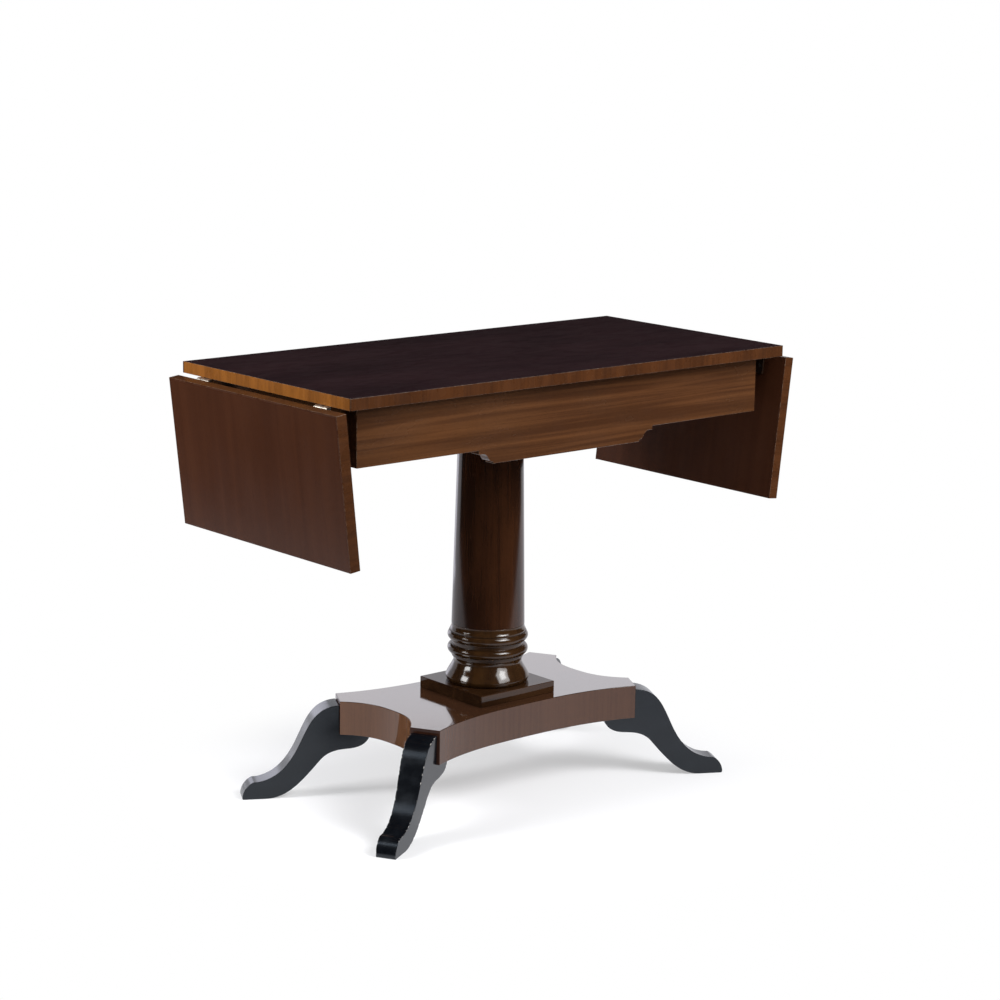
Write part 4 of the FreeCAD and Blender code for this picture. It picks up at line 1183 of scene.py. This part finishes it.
class TABLE_OT_legs(bpy.types.Operator):
    """Makes the four scroll legs, each against a canted corner"""

    bl_idname = "table.legs"
    bl_label = "Legs"

    def execute(self, context):
        finish = lacquer_finish()
        outer, inner = cant_points()
        foot_x, foot_y = (outer + inner) / 2
        out_x, out_y = math.cos(CANT_ANGLE), math.sin(CANT_ANGLE)
        for name, x, y in (("back_right", 1, 1), ("back_left", -1, 1),
                           ("front_left", -1, -1), ("front_right", 1, -1)):
            shape = leg_surface(x + LEG_NICKS * y, LEG_WEAR.get(name, LIGHT_WEAR))
            leg = moved(shape, (x * foot_x, y * foot_y, 0), (x * out_x, y * out_y, 0), (0, 0, 1),
                        (x * out_y, -y * out_x, 0))
            leg = shifted_grain(leg, (x * LEG_GRAIN[0], y * LEG_GRAIN[1], 0.0))
            add_piece("Leg_" + name, leg, finish, "frame", ["leg_" + name])
        return {"FINISHED"}


class TABLE_OT_hardware(bpy.types.Operator):
    """Gives the hinges, stays, screws and tie rod their metals"""

    bl_idname = "table.hardware"
    bl_label = "Hinges, stays and screws"

    def execute(self, context):
        tone = colours()
        hinge = hinge_finish()
        stay = metal_finish("stay_plate", tone.stay_metal, roughness=0.3)[0].material
        steel = metal_finish("screw_steel", tone.screw_metal, roughness=0.35)[0].material
        names = sorted(frame["nodes"])
        dress([name for name in names if name.startswith("hinge")], hinge)
        dress([name for name in names if name.startswith("stay")], stay)
        dress([name for name in names if name.startswith("tie_rod") or "screws" in name], steel)
        return {"FINISHED"}


# Stage: floor, low backdrop, softboxes, room and camera

# The floor is a disc that reaches further ahead of the camera than behind. Between two distances from the
# table's middle it goes over into white, from a share that it has all along, the lift, to all of it
FLOOR_RADIUS = 2.03
FLOOR_SHIFT = 1.18
FLOOR_POINTS = 97
FLOOR_FADE = (0.36, 0.62)
FLOOR_LIFT = 0.42
FLOOR_COLOUR = (0.88, 0.88, 0.90)
# The backdrop and the strip left of it are parts of a drum round the table, between two levels
BACKDROP_RADIUS = 1.55
BACKDROP_POINTS = 41
BACKDROP_TURN = math.radians(38)
BACKDROP_LEVELS = (0.002, 0.74)
STRIP_TURN = math.radians(66)
STRIP_LEVELS = (0.06, 0.72)
PLAIN_WHITE = (1.0, 1.0, 1.0)
COOL_WHITE = (0.94, 0.94, 1.0)
# Strength and colour of the room's fill, and of its dim light in polish
ROOM_FILL = 0.38
ROOM_FILL_COLOUR = (0.95, 0.97, 1.0)
ROOM_DIM = 0.02
ROOM_DIM_COLOUR = (0.9, 0.9, 1.0)
# Where the room goes over into white in polish: how far ahead of the camera, and how low, a direction points
ROOM_AHEAD = (0.55, 0.75)
ROOM_LOW = (0.10, 0.04)
# Name, place, point faced, width, height, power and tint of each lamp
SOFTBOXES = (
    ("Left_softbox", (-1.87, 0.72, 1.56), (0, 0, 0.2), 0.75, 1.0, 40, PLAIN_WHITE),
    ("Front_softbox", (0.38, -1.74, 1.80), (0, 0, 0.2), 1.25, 1.30, 43, PLAIN_WHITE),
    ("Front_core", (0.40, -1.72, 1.78), (0, 0, 0.2), 0.6, 0.7, 17, PLAIN_WHITE),
    ("Left_panel", (-1.55, -0.06, 1.75), (-0.3, -0.15, 0.1), 0.50, 0.50, 0.95, (0.76, 0.86, 1.0)),
    ("Back_panel", (0.11, 1.50, 0.33), (-0.32, 0.17, 0.1), 0.60, 0.64, 1.6, (0.86, 0.85, 1.0)),
)
# The camera's place, its angles, its lens and sensor in millimetres, and how far it sees
CAMERA_PLACE = (-2.8983, -3.3610, 1.4435)
CAMERA_YAW = 0.715506
CAMERA_PITCH = 0.208110
CAMERA_ROLL = 0.0166342
CAMERA_LENS = 95.49
CAMERA_SENSOR = 36.0
CAMERA_RANGE = 100.0


def ray_shares(nodes):
    """Two shares: 1 for what the camera sees directly, and 1 for what shows in polish and metal or through
    glass."""
    path = nodes.add("ShaderNodeLightPath")
    mirrored = nodes.math("MAXIMUM", path.outputs["Is Glossy Ray"], path.outputs["Is Transmission Ray"])
    return path.outputs["Is Camera Ray"], mirrored


def stage_white(nodes, mirrored):
    """A white glow for the stage, a little cooler in polish than in direct view."""
    glow = nodes.add("ShaderNodeEmission")
    nodes.join(nodes.blend(mirrored, PLAIN_WHITE, COOL_WHITE), glow.inputs["Color"])
    return glow.outputs[0]


def floor_finish():
    """Pale matt floor that goes over into plain white away from the table, so that it meets the room."""
    material = bpy.data.materials.new("pale_floor")
    nodes = Nodes(material)
    matt = nodes.add("ShaderNodeBsdfDiffuse")
    matt.inputs["Color"].default_value = (*FLOOR_COLOUR, 1.0)
    direct, mirrored = ray_shares(nodes)
    seen = nodes.math("MAXIMUM", direct, mirrored)
    far = nodes.spread(nodes.vector("LENGTH", nodes.place()), *FLOOR_FADE, FLOOR_LIFT, 1.0)
    white = stage_white(nodes, mirrored)
    nodes.join(nodes.mixed(nodes.math("MULTIPLY", far, seen), matt.outputs[0], white), nodes.surface)
    return material


def backdrop_finish():
    """White that shows in polish and metal only. It neither lights, shades nor hides the table."""
    material = bpy.data.materials.new("low_backdrop")
    nodes = Nodes(material)
    clear = nodes.add("ShaderNodeBsdfTransparent")
    mirrored = ray_shares(nodes)[1]
    nodes.join(nodes.mixed(mirrored, clear.outputs[0], stage_white(nodes, mirrored)), nodes.surface)
    return material


def add_stage_sheet(name, grid, material):
    """A sheet of quads between the rows of a grid of points."""
    rows, columns = grid.shape[:2]
    first = (np.arange(rows - 1)[:, None] * columns + np.arange(columns - 1)).ravel()
    faces = np.stack([first, first + 1, first + columns + 1, first + columns], 1)
    mesh = bpy.data.meshes.new(name)
    mesh.from_pydata(grid.reshape(-1, 3).tolist(), [], faces.tolist())
    mesh.materials.append(material)
    sheet = bpy.data.objects.new(name, mesh)
    bpy.context.scene.collection.objects.link(sheet)


def add_floor(ahead):
    """The floor: circles from a point in that direction out to the floor's radius."""
    turn, reach = np.meshgrid(np.linspace(0, 2 * math.pi, FLOOR_POINTS), (0.0, FLOOR_RADIUS))
    x = FLOOR_SHIFT * math.cos(ahead) + reach * np.cos(turn)
    y = FLOOR_SHIFT * math.sin(ahead) + reach * np.sin(turn)
    add_stage_sheet("Floor", np.stack([x, y, np.zeros_like(x)], 2), floor_finish())


def add_wall(name, first, last, levels, material):
    """A part of an upright drum round the table, from one direction to another and between two levels."""
    turn, level = np.meshgrid(np.linspace(first, last, BACKDROP_POINTS), levels)
    wall = np.stack([BACKDROP_RADIUS * np.cos(turn), BACKDROP_RADIUS * np.sin(turn), level], 2)
    add_stage_sheet(name, wall, material)


def add_softbox(name, place, target, width, height, power, tint):
    """A lamp with a rectangular front that faces a point. The camera doesn't see it directly."""
    lamp = bpy.data.lights.new(name, "AREA")
    lamp.shape = "RECTANGLE"
    lamp.size = width
    lamp.size_y = height
    lamp.energy = power
    lamp.color = tint
    softbox = bpy.data.objects.new(name, lamp)
    softbox.location = place
    softbox.rotation_euler = (Vector(target) - Vector(place)).to_track_quat("-Z", "Y").to_euler()
    softbox.visible_camera = False
    bpy.context.scene.collection.objects.link(softbox)


def build_room():
    """White where the camera looks past the floor. For polish and metal the room is white behind the table
    up to the backdrop's level and dim elsewhere, and it gives all else a soft even fill."""
    world = bpy.data.worlds.new("studio_room")
    nodes = Nodes(world, "ShaderNodeOutputWorld")

    def background(shade, strength):
        """An even light of that colour and strength from all round."""
        node = nodes.add("ShaderNodeBackground")
        node.inputs["Color"].default_value = (*shade, 1.0)
        node.inputs["Strength"].default_value = strength
        return node.outputs[0]

    direct, mirrored = ray_shares(nodes)
    way = nodes.add("ShaderNodeTexCoord").outputs["Generated"]
    parts = nodes.add("ShaderNodeSeparateXYZ")
    nodes.join(way, parts.inputs[0])
    ahead = nodes.vector("DOT_PRODUCT", way, (math.sin(CAMERA_YAW), math.cos(CAMERA_YAW), 0.0))
    low = nodes.spread(parts.outputs["Z"], *ROOM_LOW)
    behind = nodes.math("MULTIPLY", nodes.spread(ahead, *ROOM_AHEAD), low)
    shown = nodes.math("MAXIMUM", direct, nodes.math("MULTIPLY", mirrored, behind))
    fill = background(ROOM_FILL_COLOUR, ROOM_FILL)
    dim = background(ROOM_DIM_COLOUR, ROOM_DIM)
    white = background(PLAIN_WHITE, 1.0)
    nodes.join(nodes.mixed(shown, nodes.mixed(mirrored, fill, dim), white), nodes.surface)
    bpy.context.scene.world = world


def build_camera():
    """The camera, at the place, angles and lens that were fitted to the photograph."""
    lens = bpy.data.cameras.new("Camera")
    lens.lens = CAMERA_LENS
    lens.sensor_width = CAMERA_SENSOR
    lens.clip_end = CAMERA_RANGE
    camera = bpy.data.objects.new("Camera", lens)
    turn = (Matrix.Rotation(-CAMERA_YAW, 4, "Z") @ Matrix.Rotation(math.pi / 2 - CAMERA_PITCH, 4, "X")
            @ Matrix.Rotation(CAMERA_ROLL, 4, "Z"))
    camera.matrix_world = Matrix.Translation(CAMERA_PLACE) @ turn
    bpy.context.scene.collection.objects.link(camera)
    bpy.context.scene.camera = camera


class TABLE_OT_stage(bpy.types.Operator):
    """Sets up the pale floor, the low backdrop, the softboxes, the room and the camera"""

    bl_idname = "table.stage"
    bl_label = "Stage"

    def execute(self, context):
        ahead = math.pi / 2 - CAMERA_YAW
        add_floor(ahead)
        white = backdrop_finish()
        add_wall("Low_backdrop", ahead + BACKDROP_TURN, ahead - BACKDROP_TURN, BACKDROP_LEVELS, white)
        add_wall("Left_strip", ahead + STRIP_TURN, ahead + BACKDROP_TURN, STRIP_LEVELS, white)
        for softbox in SOFTBOXES:
            add_softbox(*softbox)
        build_room()
        build_camera()
        context.scene.view_settings.view_transform = "Standard"
        return {"FINISHED"}


class TABLE_PT_panel(bpy.types.Panel):
    """Lists the steps that make the table, and its sizes and colours"""

    bl_idname = "TABLE_PT_panel"
    bl_label = "Sofa table"
    bl_space_type = "VIEW_3D"
    bl_region_type = "UI"
    bl_category = "Sofa table"

    def draw(self, context):
        layout = self.layout
        for step in STEPS:
            layout.operator(step.bl_idname)
        for group in (sizes(), colours()):
            box = layout.box()
            for name in group.__annotations__:
                box.prop(group, name)


STEPS = (TABLE_OT_top, TABLE_OT_leaves, TABLE_OT_aprons, TABLE_OT_inner_frame, TABLE_OT_column,
         TABLE_OT_platform, TABLE_OT_legs, TABLE_OT_hardware, TABLE_OT_stage)
CLASSES = (TableSizes, TableColours, *STEPS, TABLE_PT_panel)


def register():
    """Makes the properties, steps and panel known to Blender."""
    for cls in CLASSES:
        bpy.utils.register_class(cls)
    bpy.types.Scene.table_sizes = bpy.props.PointerProperty(type=TableSizes)
    bpy.types.Scene.table_colours = bpy.props.PointerProperty(type=TableColours)


def unregister():
    """Takes them out again."""
    del bpy.types.Scene.table_colours
    del bpy.types.Scene.table_sizes
    for cls in reversed(CLASSES):
        bpy.utils.unregister_class(cls)


def main():
    """Makes the whole table and its stage."""
    register()
    bpy.ops.table.top()
    bpy.ops.table.leaves()
    bpy.ops.table.aprons()
    bpy.ops.table.inner_frame()
    bpy.ops.table.column()
    bpy.ops.table.platform()
    bpy.ops.table.legs()
    bpy.ops.table.hardware()
    bpy.ops.table.stage()


if __name__ == "__main__":
    main()
